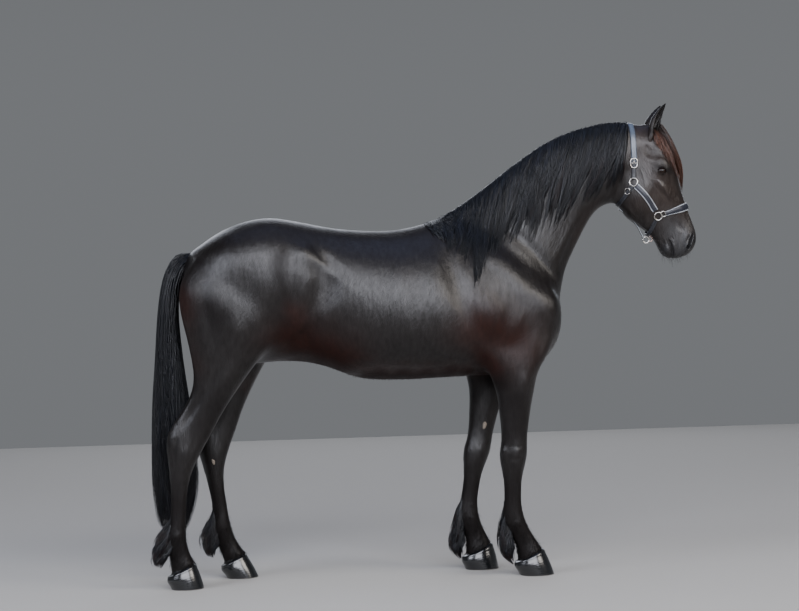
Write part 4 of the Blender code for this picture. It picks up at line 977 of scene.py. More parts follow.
# Dry callus is matt and cracked: grey-brown, paler where it flakes.
def dry_callus():
    material, tree, shader = new_material("dry_grey_horn_callus")
    place = add_node(tree, "TexCoord").outputs["Object"]
    flakes = add_node(tree, "TexNoise", {}, {"Vector": place, "Scale": 260.0, "Detail": 4.0})
    colour = add_node(tree, "Mix", {"data_type": "RGBA"}, {"Factor": flakes, "A": "3a332d", "B": "968b7e"})
    rough = add_node(tree, "MapRange", {}, {"Value": flakes, "To Min": 0.7, "To Max": 0.95})
    bump = add_node(tree, "Bump", {}, {"Height": flakes, "Strength": 0.6, "Distance": 0.0015})
    plug(tree, shader, {"Base Color": colour, "Roughness": rough, "Normal": bump})
    return material


callus = dry_callus()
for which, values in CHESTNUTS.items():
    for side, sign in SIDES:
        add_piece(f"chestnut_{which}_{side}", on_side(chestnut(*values), sign), callus, "hoof_horn")

# ---------------------------------------------------------------- long hair
# Mane, forelock, tail and the feathers behind the fetlocks: coarse hair up to 1 m long, that grows from the
# crest, the poll, the dock and the back of the pasterns. It hangs in flat wavy locks that taper to wisps.
def frames(paths, flats):
    """Directions along, across and out of each lock, at each of its points."""
    along = np.gradient(paths, axis=1)
    along /= np.linalg.norm(along, axis=2, keepdims=True) + 1e-12
    across = np.cross(along, flats)
    across /= np.linalg.norm(across, axis=2, keepdims=True) + 1e-12
    return across, np.cross(across, along)


def locks(name, paths, flats, half, thick, tones, fade=None, sides=3):
    """One mesh of closed tapering locks: their centre lines, the way they face, and their half widths."""
    count, rings, _ = paths.shape
    across, out = frames(paths, flats)
    turns = 2 * math.pi * (np.arange(sides) + 0.5) / sides
    reach = math.sqrt(2) ** (sides == 4)
    cosines, sines = np.cos(turns) * reach, np.sin(turns) * reach
    points = paths[:, :, None] + half[:, :, None, None] * (
        across[:, :, None] * cosines[:, None] + thick * out[:, :, None] * sines[:, None])
    first = (np.arange(count) * rings * sides)[:, None, None]
    ring = (np.arange(rings - 1) * sides)[None, :, None]
    a = np.arange(sides)[None, None, :]
    b = (a + 1) % sides
    low, high = first + ring, first + ring + sides
    quads = np.stack([low + a, low + b, high + b, high + a], 3)
    start = first[:, 0] + np.arange(sides)[::-1]
    end = first[:, 0] + (rings - 1) * sides + np.arange(sides)
    mesh = bpy.data.meshes.new(name)
    faces = quads.reshape(-1, 4).tolist() + start.tolist() + end.tolist()
    mesh.from_pydata(points.reshape(-1, 3), [], faces)
    lengths = np.cumsum(np.linalg.norm(np.diff(paths, axis=1, prepend=paths[:, :1]), axis=2), axis=1)
    shape = (count, rings, sides)
    seed = np.broadcast_to((tones * 91.7)[:, None, None], shape)
    down = np.broadcast_to(lengths[:, :, None], shape)
    strand = np.stack([half[:, :, None] * cosines + seed, down, seed], 3)
    if fade is None:
        fade = np.zeros((count, rings))
    add_values(mesh, strand=strand.reshape(-1, 3), tone=np.broadcast_to(tones[:, None, None], shape).ravel(),
               fade=np.broadcast_to(fade[:, :, None], shape).ravel())
    patch_map(mesh, paths[:, 0], rings * sides)
    return mesh


# The unwrap: the hide is opened along the belly, round lines that run down its parts. Each is one tile.
PARTS = {
    "barrel": [(-1.1, 0, 1.3), (0.35, 0, 1.25)],
    "neck": [(0.2, 0, 1.35), (0.9, 0, 1.85)],
    "head": [(0.95, 0, 1.9), (1.16, 0, 1.43)],
    "fore_right": [(0.36, -0.15, 0.95), (0.4, -0.13, 0.1)],
    "fore_left": [(0.3, 0.15, 0.95), (0.22, 0.13, 0.1)],
    "hind_right": [(-0.95, -0.16, 0.98), (-1.12, -0.145, 0.3), (-1.1, -0.145, 0.1)],
    "hind_left": [(-0.9, 0.16, 0.98), (-0.93, 0.145, 0.3), (-0.88, 0.145, 0.1)],
    "tail": [(-1.04, 0, 1.45), (-1.15, 0, 0.2)],
}


def unwrapped(points):
    """Where points of the hide lie on its unwrap, from 0 to 1."""
    best, uv = np.full(len(points), np.inf), np.zeros((len(points), 2))
    for tile, line in enumerate(PARTS.values()):
        line = np.array(line, float)
        away, share = path_shares(points, line)
        axis = (line[-1] - line[0]) / np.linalg.norm(line[-1] - line[0])
        side = np.array([0.0, 1.0, 0.0])
        front = np.cross(axis, side)
        at = points - line[0]
        turn = np.arctan2(at @ side, at @ front) / (2 * math.pi)
        column, row = tile % 4, tile // 4
        place = np.column_stack([(column + 0.04 + 0.9 * (turn + 0.5)) / 4, (row + 0.04 + 0.9 * share) / 2])
        closer = away < best
        uv[closer], best[closer] = place[closer], away[closer]
    return uv


PATCH = 0.003


def patch_map(mesh, roots, size):
    """Give each tuft a patch of the map at the place of its root on the unwrap."""
    points = read(mesh, "loops", "vertex_index", 1, np.int32)[:, 0]
    starts, totals = (read(mesh, "polygons", field, 1, np.int32)[:, 0]
                      for field in ("loop_start", "loop_total"))
    turn = np.arange(len(points)) - np.repeat(starts, totals)
    corner = (np.array([(0, 0), (1, 0), (1, 1), (0, 1)]) * PATCH)[turn]
    uv = unwrapped(roots)[points // size] + corner - PATCH / 2
    mesh.uv_layers.new(name="OFBake").data.foreach_set("uv", uv.ravel())


def tapered(count, rings, root, tip, power=1.0):
    """Half widths, as a share, along locks that are narrow at the root and fine at the tip."""
    t = np.linspace(0, 1, rings)
    swell = root + (1 - root) * step(t, 0.0, 0.18)
    return np.broadcast_to(swell * (1 - (1 - tip) * step(t, 0.45, 1.0) ** power), (count, rings))


BODY_ROWS = 120


def body_of_hair(rows, starts, ends, t):
    """Front, rear and half width of a body of hair at shares t of the way; its rows are in mm."""
    table = spline(np.array(rows) / 1000, BODY_ROWS)
    s = np.clip(starts[:, None] + (ends - starts)[:, None] * t, 0, 1.06) * (BODY_ROWS - 1)
    return (np.interp(s, np.arange(BODY_ROWS), table[:, column]) for column in range(5))


def hung(rows, starts, ends, turns, shares, rings, sway, side=0.0):
    """Centre lines of locks inside a body of hair, and the way they face.

    The sway is how far each lock wanders round the body, how often, and from what phase.
    """
    t = np.linspace(0, 1, rings)[None, :]
    ax, az, bx, bz, half = body_of_hair(rows, starts, ends, t)
    size, beat, phase = (values[:, None] for values in sway)
    turn = turns[:, None] + size * t * np.sin(beat * 2 * math.pi * t + phase)
    share = shares[:, None] * (0.4 + 0.6 * step(t, 0, 0.25))
    x = (ax + bx) / 2 + (ax - bx) / 2 * np.cos(turn) * share
    z = (az + bz) / 2 + (az - bz) / 2 * np.cos(turn) * share
    y = side + half * np.sin(turn) * share
    flats = np.stack([(ax - bx) * np.cos(turn), half * 2 * np.sin(turn), (az - bz) * np.cos(turn)], axis=2)
    return np.stack([x, y, z], axis=2), flats / (np.linalg.norm(flats, axis=2, keepdims=True) + 1e-12)


def clumped(rng, clumps, each, spread, *ranges):
    """Random values for hairs that keep together in clumps: one array for each range."""
    for low, high in ranges:
        middle = np.repeat(rng.uniform(low, high, clumps), each)
        yield middle + rng.normal(0, spread * (high - low), clumps * each)


def for_each(values, each):
    """Values of the clumps, as a column with a row for every hair."""
    return np.repeat(values, each)[:, None]


def shades(rng, clumps, each, top):
    """A tone for every hair: its clump's, and a little of its own."""
    return np.clip(np.repeat(rng.uniform(0, top, clumps), each) + rng.uniform(0, 0.2, clumps * each), 0, 1)


def widths(rng, width, count, rings, root, tip, power=1.0):
    """Half widths of hairs that differ in thickness."""
    return width * rng.uniform(0.6, 1.3, (count, 1)) * tapered(count, rings, root, tip, power)


# Coarse black hair: glossy along its length, with a painted blue sky reflection in its lighter tones and
# rust at bleached ends.
def long_hair(name, dark, light, rust):
    material, tree, shader = new_material(name)
    tone = add_node(tree, "Attribute", {"attribute_name": "tone"}).outputs["Fac"]
    fade = add_node(tree, "Attribute", {"attribute_name": "fade"}).outputs["Fac"]
    place = add_node(tree, "Attribute", {"attribute_name": "strand"}).outputs["Vector"]
    # Hairs are 0.1 mm across; they are drawn as strands 0.9 mm across and 60 mm long to show.
    strands = add_node(tree, "Mapping", {}, {"Vector": place, "Scale": (1100.0, 16.0, 1.0)})
    fine = add_node(tree, "TexNoise", {}, {"Vector": strands, "Scale": 1.0, "Detail": 2.0})
    base = add_node(tree, "Mix", {"data_type": "RGBA"}, {"Factor": tone, "A": dark, "B": light})
    streak = add_node(tree, "Mix", {"data_type": "RGBA", "blend_type": "MULTIPLY"},
                      {"Factor": 0.6, "A": base, "B": fine.outputs["Color"]})
    rusty = add_node(tree, "Mix", {"data_type": "RGBA"}, {"Factor": fade, "A": streak, "B": rust})
    bump = add_node(tree, "Bump", {}, {"Height": fine, "Strength": 0.45, "Distance": 0.0008})
    plug(tree, shader, {"Base Color": rusty, "Normal": bump,
                        "Roughness": 0.42, "IOR": 1.55, "Specular IOR Level": 0.34})
    return material


# the bluish cast of the lighter tone is a painted sky reflection; the spread of tones between hairs is their
# own
black_hair = long_hair("long_black_horse_hair", "07080b", "191c24", "33160c")
rusty_hair = long_hair("long_horse_hair_rusty", "120c0a", "33241e", "5a382a")


def add_hair(name, mesh, *replaced, material=black_hair):
    add_piece(name, mesh, material, "long_hair", *replaced)


# ---------------------------------------------------------------- mane
# It grows from the whole crest, from behind the ears to the withers, and falls over the right side of the
# neck in a curtain about 0.4 m deep, with a fringe of separate wisps.
MANE_TIPS = [
    (0.02, 1.52), (0.105, 1.41), (0.184, 1.285), (0.25, 1.39), (0.35, 1.475), (0.47, 1.49),
    (0.57, 1.535), (0.67, 1.632), (0.78, 1.684), (0.89, 1.735),
]
MANE_RIDGE = [(-0.045, 1.7), *[row[:2] for row in NECK[2:-1]], (0.922, 2.1)]
MANE_COLUMNS, MANE_ROWS = 76, 26
MANE_DROPS = np.linspace(-0.08, 1.0, MANE_ROWS)


def mane_bed():
    """A grid of places on the neck under the mane, from the crest down to the tips, and their normals."""
    tips = spline(MANE_TIPS, MANE_COLUMNS)
    ridge = spline(MANE_RIDGE, MANE_COLUMNS)
    places, outs = np.zeros((2, MANE_COLUMNS, MANE_ROWS, 3))
    for column in range(MANE_COLUMNS):
        top_x = ridge[column][0]
        tip_x, tip_z = tips[column]
        crown = form.ray_cast(Vector((top_x, 0, 3)), Vector((0, 0, -1)))[0]
        for row, drop in enumerate(MANE_DROPS):
            if drop <= 0.04:
                near = form.ray_cast(Vector((top_x, 0.012 - 0.45 * (drop + 0.08), 3)), Vector((0, 0, -1)))
            else:
                x = top_x + (tip_x - top_x) * drop
                z = crown.z - 0.012 + (tip_z - crown.z) * drop
                near = form.ray_cast(Vector((x, -1, z)), Vector((0, 1, 0)))
            if near[0] is None:
                near = form.find_nearest(Vector((top_x, -0.04, crown.z)))
            places[column, row], outs[column, row] = near[0], near[1]
    return places, outs


def grid_look(grid, columns, rows):
    """Values of a grid between its points."""
    columns = np.clip(columns, 0, grid.shape[0] - 1.001)
    rows = np.clip(rows, 0, grid.shape[1] - 1.001)
    c, r = columns.astype(int), rows.astype(int)
    u, v = (columns - c)[..., None], (rows - r)[..., None]
    low = grid[c, r] * (1 - u) + grid[c + 1, r] * u
    high = grid[c, r + 1] * (1 - u) + grid[c + 1, r + 1] * u
    return low * (1 - v) + high * v


mane_places, mane_outs = mane_bed()


def mane_locks(name, clumps, each, rings, width, heights, drops, wave, seed):
    """Hairs in clumps that start on the crest, lie over the neck and draw together at their tips."""
    rng = np.random.default_rng(seed)
    count = clumps * each
    t = np.linspace(0, 1, rings)[None, :]
    spacing = (MANE_COLUMNS - 1) / clumps
    clump = for_each(np.sort(rng.uniform(0, MANE_COLUMNS - 1, clumps)), each)
    thin = 1 - 0.75 * step(-clump, -15, 0) * for_each(rng.uniform(0, 1, clumps), each)
    length = for_each(rng.uniform(*drops, clumps), each) * thin * rng.uniform(0.8, 1.04, (count, 1))
    start = rng.uniform(-0.01, 0.075, (count, 1))
    rows = (start + (length - start) * t) * (MANE_ROWS - 1)
    fan = rng.normal(0, 1, (count, 1))
    lean = 1.5 * np.sin(clump * 0.55) + 1.1 * np.sin(clump * 1.27 + 2.0)
    lean = lean + for_each(rng.normal(0, 0.8, clumps), each)
    beat = 1.1 + 0.5 * np.sin(clump * 0.21) + for_each(rng.normal(0, 0.25, clumps), each)
    phase = 2.2 * np.sin(clump * 0.43) + for_each(rng.normal(0, 0.7, clumps), each)
    columns = clump + fan * spacing * (0.85 - 0.5 * t) + lean * t**1.6
    columns += wave * step(t, 0.0, 0.5) * np.sin(beat * 2 * math.pi * t + phase + 0.3 * fan)
    columns = np.where(columns < 5, 5 * np.exp((columns - 5) / 5), columns)
    lift = for_each(rng.uniform(*heights, clumps), each) + rng.normal(0, 0.0011, (count, 1))
    lift = lift * (0.25 + 0.75 * step(clump, -2, 12))
    height = lift * (0.16 + 0.84 * step(t, 0.02, 0.3)) * (1 - 0.4 * step(t, 0.6, 1.0)) - 0.003 * (t < 0.001)
    height += 0.0016 * step(t, 0.1, 0.5) * np.cos(beat * 2 * math.pi * t + phase)
    outs = grid_look(mane_outs, columns, rows)
    outs = unit(outs)
    paths = grid_look(mane_places, columns, rows) + outs * height[..., None]
    half = widths(rng, width, count, rings, 0.35, 0.1, 0.8)
    warm = for_each(rng.uniform(0, 1, clumps) > 0.8, each)
    fade = step(t, 0.35, 1.1) * rng.uniform(0.1, 0.7, (count, 1)) * warm * step(clump, 30, 50)
    tones = shades(rng, clumps, each, 0.8)
    return locks(name, paths, outs, half, 0.34, tones, fade)


# Layers from the skin outward: clumps, hairs in each, rings, half width, heights, drops, wave and seed.
MANE_LAYERS = {
    "mane_under": (110, 7, 10, 0.0095, (0.002, 0.006), (0.74, 0.93), 0.4, 11),
    "mane_middle": (150, 14, 10, 0.003, (0.005, 0.011), (0.7, 1.0), 0.5, 12),
    "mane_over": (140, 14, 12, 0.0021, (0.009, 0.0165), (0.6, 1.03), 0.6, 13),
    "mane_wisps": (260, 3, 13, 0.0014, (0.01, 0.02), (0.5, 1.08), 1.1, 14),
}
for name, values in MANE_LAYERS.items():
    add_hair(name, mane_locks(name, *values), *(["mane"] if name == "mane_under" else []))


# ---------------------------------------------------------------- tail
# The dock is a short tapering stem of bone and skin. Its hair grows all round it and reaches the fetlocks.
TAIL = [
    (-1000, 1425, -1020, 1486, 22), (-1045, 1400, -1078, 1479, 40), (-1085, 1350, -1122, 1446, 52),
    (-1100, 1280, -1160, 1380, 62), (-1105, 1200, -1184, 1290, 70), (-1100, 1100, -1200, 1160, 75),
    (-1090, 980, -1211, 1010, 78), (-1070, 820, -1226, 830, 78), (-1050, 640, -1235, 640, 74),
    (-1036, 480, -1238, 470, 68), (-1045, 370, -1231, 360, 56), (-1075, 270, -1215, 270, 36),
    (-1115, 205, -1160, 205, 12),
]


def tail_locks(name, clumps, each, rings, width, shares, starts, ends, wave, seed):
    rng = np.random.default_rng(seed)
    count = clumps * each
    start, end, turn, share, size, beat, phase = clumped(
        rng, clumps, each, 0.035, starts, ends, (0, 2 * math.pi), shares, (0.3 * wave, wave), (0.8, 2.4),
        (0, 6.3))
    turn += rng.normal(0, 0.1, count)
    paths, flats = hung(TAIL, np.clip(start, 0, 1) ** 1.3, end, turn, share, rings, (size, beat, phase))
    half = widths(rng, width, count, rings, 0.3, 0.08)
    t = np.linspace(0, 1, rings)[None, :]
    fade = step(t, 0.7, 1.2) * rng.uniform(0, 0.25, (count, 1))
    tones = shades(rng, clumps, each, 0.7)
    return locks(name, paths, flats, half, 0.34, tones, fade)


# Layers from the dock outward: clumps, hairs in each, rings, half width, shares, starts, ends, wave, seed.
TAIL_LAYERS = {
    "tail_core": (60, 4, 13, 0.017, (0.25, 0.66), (0.0, 0.5), (0.78, 0.94), 0.15, 21),
    "tail_locks": (110, 12, 13, 0.0042, (0.66, 0.92), (0.0, 0.62), (0.76, 1.0), 0.35, 22),
    "tail_strands": (110, 11, 15, 0.0022, (0.82, 1.03), (0.0, 0.7), (0.62, 1.03), 0.45, 23),
}
for name, values in TAIL_LAYERS.items():
    add_hair(name, tail_locks(name, *values), *(["tail"] if name == "tail_core" else []))


# ---------------------------------------------------------------- forelock
# The front of the mane, from between the ears down over the face; its ends are bleached to red-brown.
FORELOCK = [
    (1050, 2034, 1035, 1990, 12), (1085, 2018, 1055, 1975, 22), (1112, 1986, 1075, 1950, 37),
    (1138, 1940, 1095, 1910, 50), (1162, 1885, 1118, 1865, 52), (1182, 1835, 1138, 1820, 46),
    (1191, 1785, 1152, 1775, 36), (1190, 1735, 1164, 1730, 22), (1187, 1697, 1178, 1697, 8),
]


def forelock_locks(name, clumps, each, rings, width, shares, ends, wave, seed):
    rng = np.random.default_rng(seed)
    count = clumps * each
    start, end, share, size, beat, phase = clumped(
        rng, clumps, each, 0.06, (0.0, 0.12), ends, shares, (0.3 * wave, wave), (0.7, 1.8), (0, 6.3))
    turn = np.repeat(rng.normal(0, 0.85, clumps), each) + rng.normal(0, 0.07, count)
    paths, flats = hung(FORELOCK, np.clip(start, 0, 1), end, turn, share, rings, (size, beat, phase))
    half = widths(rng, width, count, rings, 0.4, 0.08)
    t = np.linspace(0, 1, rings)[None, :]
    fade = step(t, 0.15, 0.95) * for_each(rng.uniform(0.3, 1.0, clumps), each)
    tones = shades(rng, clumps, each, 0.8)
    return locks(name, paths, flats, half, 0.3, tones, fade)


under = forelock_locks("forelock_under", 40, 6, 11, 0.006, (0.3, 0.8), (0.6, 0.92), 0.15, 31)
add_hair("forelock_under", under, "forelock", material=rusty_hair)
over = forelock_locks("forelock_over", 60, 12, 13, 0.0019, (0.7, 1.03), (0.5, 1.0), 0.3, 32)
add_hair("forelock_over", over, material=rusty_hair)


# Strands from between the ears also fall over the temples: roots and tips in the side view, rear to front.
SIDE_ROOTS = [(1.038, 1.985), (1.052, 1.992), (1.068, 1.99), (1.084, 1.975)]
SIDE_TIPS = [(1.056, 1.884), (1.1, 1.815), (1.142, 1.748), (1.176, 1.7)]


def temple_locks(name, sign, clumps, each, rings, width, seed):
    rng = np.random.default_rng(seed)
    count = clumps * each
    place, stop, stand, bow = clumped(
        rng, clumps, each, 0.05, (0, 3), (0.55, 1.0), (0.003, 0.01), (-0.4, 1.0))
    t = np.linspace(0, 1, rings)[None, :]
    s = t * stop[:, None]
    root, tip = (np.column_stack([np.interp(place, range(4), values) for values in zip(*spots)])
                 for spots in (SIDE_ROOTS, SIDE_TIPS))
    curl = 0.012 * bow[:, None] * np.sin(math.pi * s) + 0.004 * np.sin(5 * s + 9 * stand[:, None] * 100)
    curl = curl * step(t, 0, 0.3)
    x = root[:, :1] + (tip - root)[:, :1] * s + curl
    z = root[:, 1:] + (tip - root)[:, 1:] * s + 0.6 * curl
    paths, flats = np.empty((count, rings, 3)), np.empty((count, rings, 3))
    for i in range(count):
        for j in range(rings):
            spot, out = beside(form, x[i, j], z[i, j], sign)
            if spot is None:
                spot, out = Vector((x[i, j], 0.012 * sign, z[i, j])), Vector((0.8, 0.6 * sign, 0.0))
            rise = stand[i] * (0.5 + 0.5 * t[0, j])
            paths[i, j] = spot + out * rise
            flats[i, j] = out
    paths[:, :3, 1] *= np.array([0.45, 0.75, 0.93])
    half = widths(rng, width, count, rings, 0.5, 0.06)
    fade = step(t, 0.0, 0.9) * for_each(rng.uniform(0.3, 1.0, clumps), each)
    return locks(name, paths, flats, half, 0.3, np.repeat(rng.uniform(0, 1, clumps), each), fade)


TEMPLE_CLUMPS, TEMPLE_EACH, TEMPLE_RINGS, TEMPLE_HAIR = 46, 8, 10, 0.0015
for side, sign in SIDES:
    name = f"forelock_temple_{side}"
    mesh = temple_locks(name, sign, TEMPLE_CLUMPS, TEMPLE_EACH, TEMPLE_RINGS, TEMPLE_HAIR, 35 + sign)
    add_hair(name, mesh, material=rusty_hair)


# ---------------------------------------------------------------- feathers
# Long silky hair that grows from the back of the cannon and the pastern, and hangs over heel and hoof.
FEATHERS = {
    "fore": [
        (312, 330, 304, 334, 10), (325, 275, 293, 275, 26), (335, 215, 283, 212, 42),
        (340, 165, 277, 158, 50), (350, 118, 288, 104, 46), (354, 80, 318, 68, 30), (354, 55, 344, 49, 10),
    ],
    "hind": [
        (-1158, 325, -1168, 328, 10), (-1150, 275, -1196, 272, 28), (-1150, 225, -1234, 215, 44),
        (-1155, 180, -1250, 158, 50), (-1168, 140, -1242, 112, 42), (-1190, 108, -1218, 88, 14),
    ],
}
FEATHER_SIDES = {"fore": 0.128, "hind": 0.145}


def feather_locks(which, side, sign, clumps, each, rings, width, shares, seed):
    """Hairs that root on the back of the leg, sweep out and down, and gather in separate points."""
    rng = np.random.default_rng(seed)
    count = clumps * each
    start, span, share, size, beat, phase = clumped(
        rng, clumps, each, 0.05, (0.0, 0.62), (0.26, 0.52), shares, (0.05, 0.35), (0.5, 1.4), (0, 6.3))
    start = np.clip(start, 0, 0.7)
    end = np.minimum(start + span, np.repeat(rng.uniform(0.78, 1.08, clumps), each))
    goal = np.repeat(rng.uniform(0.7, 5.58, clumps), each) + rng.normal(0, 0.1, count)
    t = np.linspace(0, 1, rings)[None, :]
    ax, az, bx, bz, half = body_of_hair(FEATHERS[which], start, end, t)
    out = step(t, -0.15, 0.62)
    turn = goal[:, None] + size[:, None] * t * np.sin(beat[:, None] * 2 * math.pi * t + phase[:, None])
    reach = np.cos(turn) * share[:, None]
    inner = 1.35 - 0.1 * share[:, None]
    along = inner * (1 - out) + reach * out
    x = (ax + bx) / 2 + (ax - bx) / 2 * along
    z = (az + bz) / 2 + (az - bz) / 2 * along - 0.004 * t
    y = -FEATHER_SIDES[which] + half * np.sin(turn) * share[:, None] * (0.55 + 0.45 * out)
    flats = np.stack([(ax - bx) * np.cos(turn), half * 2 * np.sin(turn), (az - bz) * np.cos(turn)], axis=2)
    paths = np.stack([x, y, z], axis=2)
    paths[..., 2] = np.maximum(paths[..., 2], 0.004)
    if sign > 0:
        shape = paths.shape
        paths = stance((paths * (1, -1, 1)).reshape(-1, 3)).reshape(shape)
        flats = flats * (1, -1, 1)
    half = widths(rng, width, count, rings, 0.5, 0.06)
    fade = step(t, 0.5, 1.1) * for_each(rng.uniform(0, 0.7, clumps), each)
    tones = shades(rng, clumps, each, 0.7)
    return locks(f"feather_{which}_{side}", paths, flats, half, 0.3, tones, fade)


for which in FEATHERS:
    for side, sign in SIDES:
        seed = 41 + len(which) * sign + (7 if which == "hind" else 0)
        under = feather_locks(which, side, sign, 60, 7, 8, 0.0034, (0.3, 0.8), seed)
        add_hair(f"feather_{which}_{side}_under", under, f"feather_{which}_{side}")
        over = feather_locks(which, side, sign, 70, 11, 10, 0.0013, (0.6, 1.08), seed + 20)
        add_hair(f"feather_{which}_{side}_over", over)


# ---------------------------------------------------------------- tufts of the coat
# Where the short coat breaks the form it stands as small tufts: along jaw and throat, on elbows, belly,
# stifles and the backs of the legs, over the coronets and in the ears. Feelers grow on lips and chin.
rng = np.random.default_rng(61)


def scattered(density, count):
    """Random places on the hide with its normals, chosen by a density at each face's middle."""
    middles = read(skin, "polygons", "center")
    normals = read(skin, "polygons", "normal")
    areas = read(skin, "polygons", "area", 1)[:, 0]
    weight = areas * density(middles)
    picked = rng.choice(len(areas), count, p=weight / weight.sum())
    shift = rng.normal(0, 1, (count, 3)) * np.sqrt(areas[picked])[:, None] * 0.4
    shift -= normals[picked] * np.einsum("ij,ij->i", shift, normals[picked])[:, None]
    return middles[picked] + shift, normals[picked]


def tufts(name, roots, outs, ways, lengths, half, rise, rings, droop):
    """Short curved tufts that leave the hide and bend over to lie along it."""
    t = np.linspace(0, 1, rings)[None, :, None]
    ways = ways - outs * np.einsum("ij,ij->i", ways, outs)[:, None] + rng.normal(0, 0.16, ways.shape)
    ways = unit(ways)
    lengths = lengths[:, None, None]
    lift = rise[:, None, None]
    paths = roots[:, None] + ways[:, None] * lengths * t + outs[:, None] * lengths * lift * (t - 0.35 * t**2)
    paths = paths - outs[:, None] * 0.0012 * (1 - t) ** 2
    paths[..., 2] -= droop * (lengths * t**2)[..., 0]
    flats = np.broadcast_to(outs[:, None], paths.shape)
    mesh = locks(name, paths, flats, widths(rng, half, len(roots), rings, 0.7, 0.08), 0.45,
                 rng.uniform(0, 0.35, len(roots)))
    add_values(mesh, **{key: np.repeat(values, rings * 3) for key, values in markings(roots).items()})
    return mesh


def add_tufts(name, count, density, way, length, growth, half, rise, more=0.0, rings=4, droop=0.0):
    """A group of tufts; the coat's own pattern runs along each tuft as it does along the hide."""
    roots, outs = scattered(density, count)
    ways = way(roots, outs)
    lengths = rng.uniform(*length, count) * growth(roots, outs) + more
    mesh = tufts(name, roots, outs, ways, lengths, half, rng.uniform(*rise, count), rings, droop)
    strand = np.empty(len(mesh.vertices) * 3)
    mesh.attributes["strand"].data.foreach_get("vector", strand)
    add_values(mesh, hair=strand.reshape(-1, 3))
    add_piece(name, mesh, coat, "coat")


TUFT_PLACES = [  # x and z of each point and the reach, in mm, then how many
    (890, 1620, 980, 1530, 1050, 1480, 35, 2.0), (840, 1630, 720, 1520, 620, 1300, 40, 0.8),
    (600, 1250, 560, 1050, 480, 920, 50, 1.0), (240, 980, 240, 900, 60, 1.6),
    (160, 885, -200, 875, -500, 950, 30, 1.0), (-620, 1060, -560, 1000, -640, 960, 60, 1.6),
    (-1100, 1250, -1080, 1050, -1050, 920, 35, 0.8), (-1050, 880, -1160, 680, -1170, 560, 30, 1.0),
    (-1165, 500, -1165, 320, 32, 1.6), (285, 600, 300, 500, 304, 330, 32, 1.6),
    (105, 600, 150, 450, 150, 330, 40, 1.4), (-980, 560, -950, 420, -930, 320, 40, 1.4),
]


def tuft_density(points):
    total = np.zeros(len(points))
    for path, reach, strength in marks(TUFT_PLACES):
        total = np.maximum(total, strength * blob(points, path, reach))
    return total


add_tufts("coat_tufts_edges", 6200, tuft_density, lambda roots, outs: lie(roots), length=(0.007, 0.016),
          growth=lambda roots, outs: 0.55 + 0.45 * step(-roots[:, 2], -1.2, -0.6),
          half=0.0006, rise=(0.04, 0.26))


# Fetlocks: the hair of the joint is long and coarse all round, and runs into the feathers behind.
def near_fetlocks(points):
    """Most below the middle of the cannon, fading out above it."""
    return step(-points[:, 2], -0.36, -0.22) * (points[:, 2] > 0.105)


add_tufts("fetlock_hair", 4200, near_fetlocks,
          lambda roots, outs: np.tile([-0.42, 0.0, -0.9], (len(roots), 1)), length=(0.012, 0.03),
          growth=lambda roots, outs: step(-roots[:, 2], -0.4, -0.2),
          half=0.0007, rise=(0.03, 0.2), more=0.008, rings=5)


# Coronets: a fringe of short hair falls over the top of each hoof.
def near_coronet(points):
    """1 just above the hoofs, all round, and 0 elsewhere."""
    total = np.zeros(len(points))
    for (front, front_z, back, back_z, half), ground, side in HOOVES.values():
        for sign in (-1, 1):
            at = points if sign < 0 else unset(points)
            share = np.clip((at[:, 0] - back) / (front - back), -0.2, 1.2)
            above = at[:, 2] - (back_z + (front_z - back_z) * share)
            here = (np.abs(at[:, 0] - (front + back) / 2) < 0.1) & (np.sign(points[:, 1]) == sign)
            total = np.maximum(total, here * (above > 0.0) * (above < 0.02))
    return total


def unset(points):
    """Where points of the left legs would be if they stood like the right ones."""
    back = points.copy()
    for _ in range(3):
        back[:, 0] -= (stance(back) - points)[:, 0]
    return back


add_tufts("coronet_fringe", 2600, near_coronet, lambda roots, outs: np.array([0.1, 0.0, -1.0]) + 0.35 * outs,
          length=(0.012, 0.026), growth=lambda roots, outs: 1 + step(-outs[:, 0], 0.1, 0.7),
          half=0.0008, rise=(0.1, 0.35))


# Ears: soft longer hair inside the cup and a short fringe along its rims.
def near_ears(points):
    at = np.column_stack([points[:, 0], -np.abs(points[:, 1]), points[:, 2]])
    root, tip = np.array(EAR["root"]), np.array(EAR["tip"])
    axis = (tip - root) / np.linalg.norm(tip - root)
    along = (at - root) @ axis
    away = np.linalg.norm(at - root - np.outer(along, axis), axis=1)
    ahead = read(skin, "polygons", "normal")[:, 0] > 0.2
    return (along > 0.005) & (along < 0.145) & (away < 0.04) & ahead


def up_ears(roots, outs):
    """Along the ear, with some disorder."""
    tip = np.array(EAR["tip"]) - np.array(EAR["root"])
    ways = tip / np.linalg.norm(tip) + rng.normal(0, 0.1, outs.shape)
    ways[:, 1] = np.where(roots[:, 1] > 0, -ways[:, 1], ways[:, 1])
    return ways


add_tufts("ear_hair", 3600, near_ears, up_ears, length=(0.01, 0.022),
          growth=lambda roots, outs: 1 - 0.7 * step(roots[:, 2], 2.0, 2.08), half=0.0005, rise=(0.08, 0.36))


# Feelers and lashes: stiff single hairs on lips, chin and lids.
def near_lips(points):
    chin = [(1.09, 1.47), (1.1, 1.41), (1.15, 1.395), (1.2, 1.41)]
    return blob(points, chin, 0.035) * (points[:, 2] < 1.47)


add_tufts("feelers", 150, near_lips, lambda roots, outs: np.tile([0.2, 0.0, -1.0], (len(roots), 1)),
          length=(0.012, 0.03), growth=lambda roots, outs: 1.0, half=0.00035, rise=(0.6, 1.4), rings=7,
          droop=0.25)


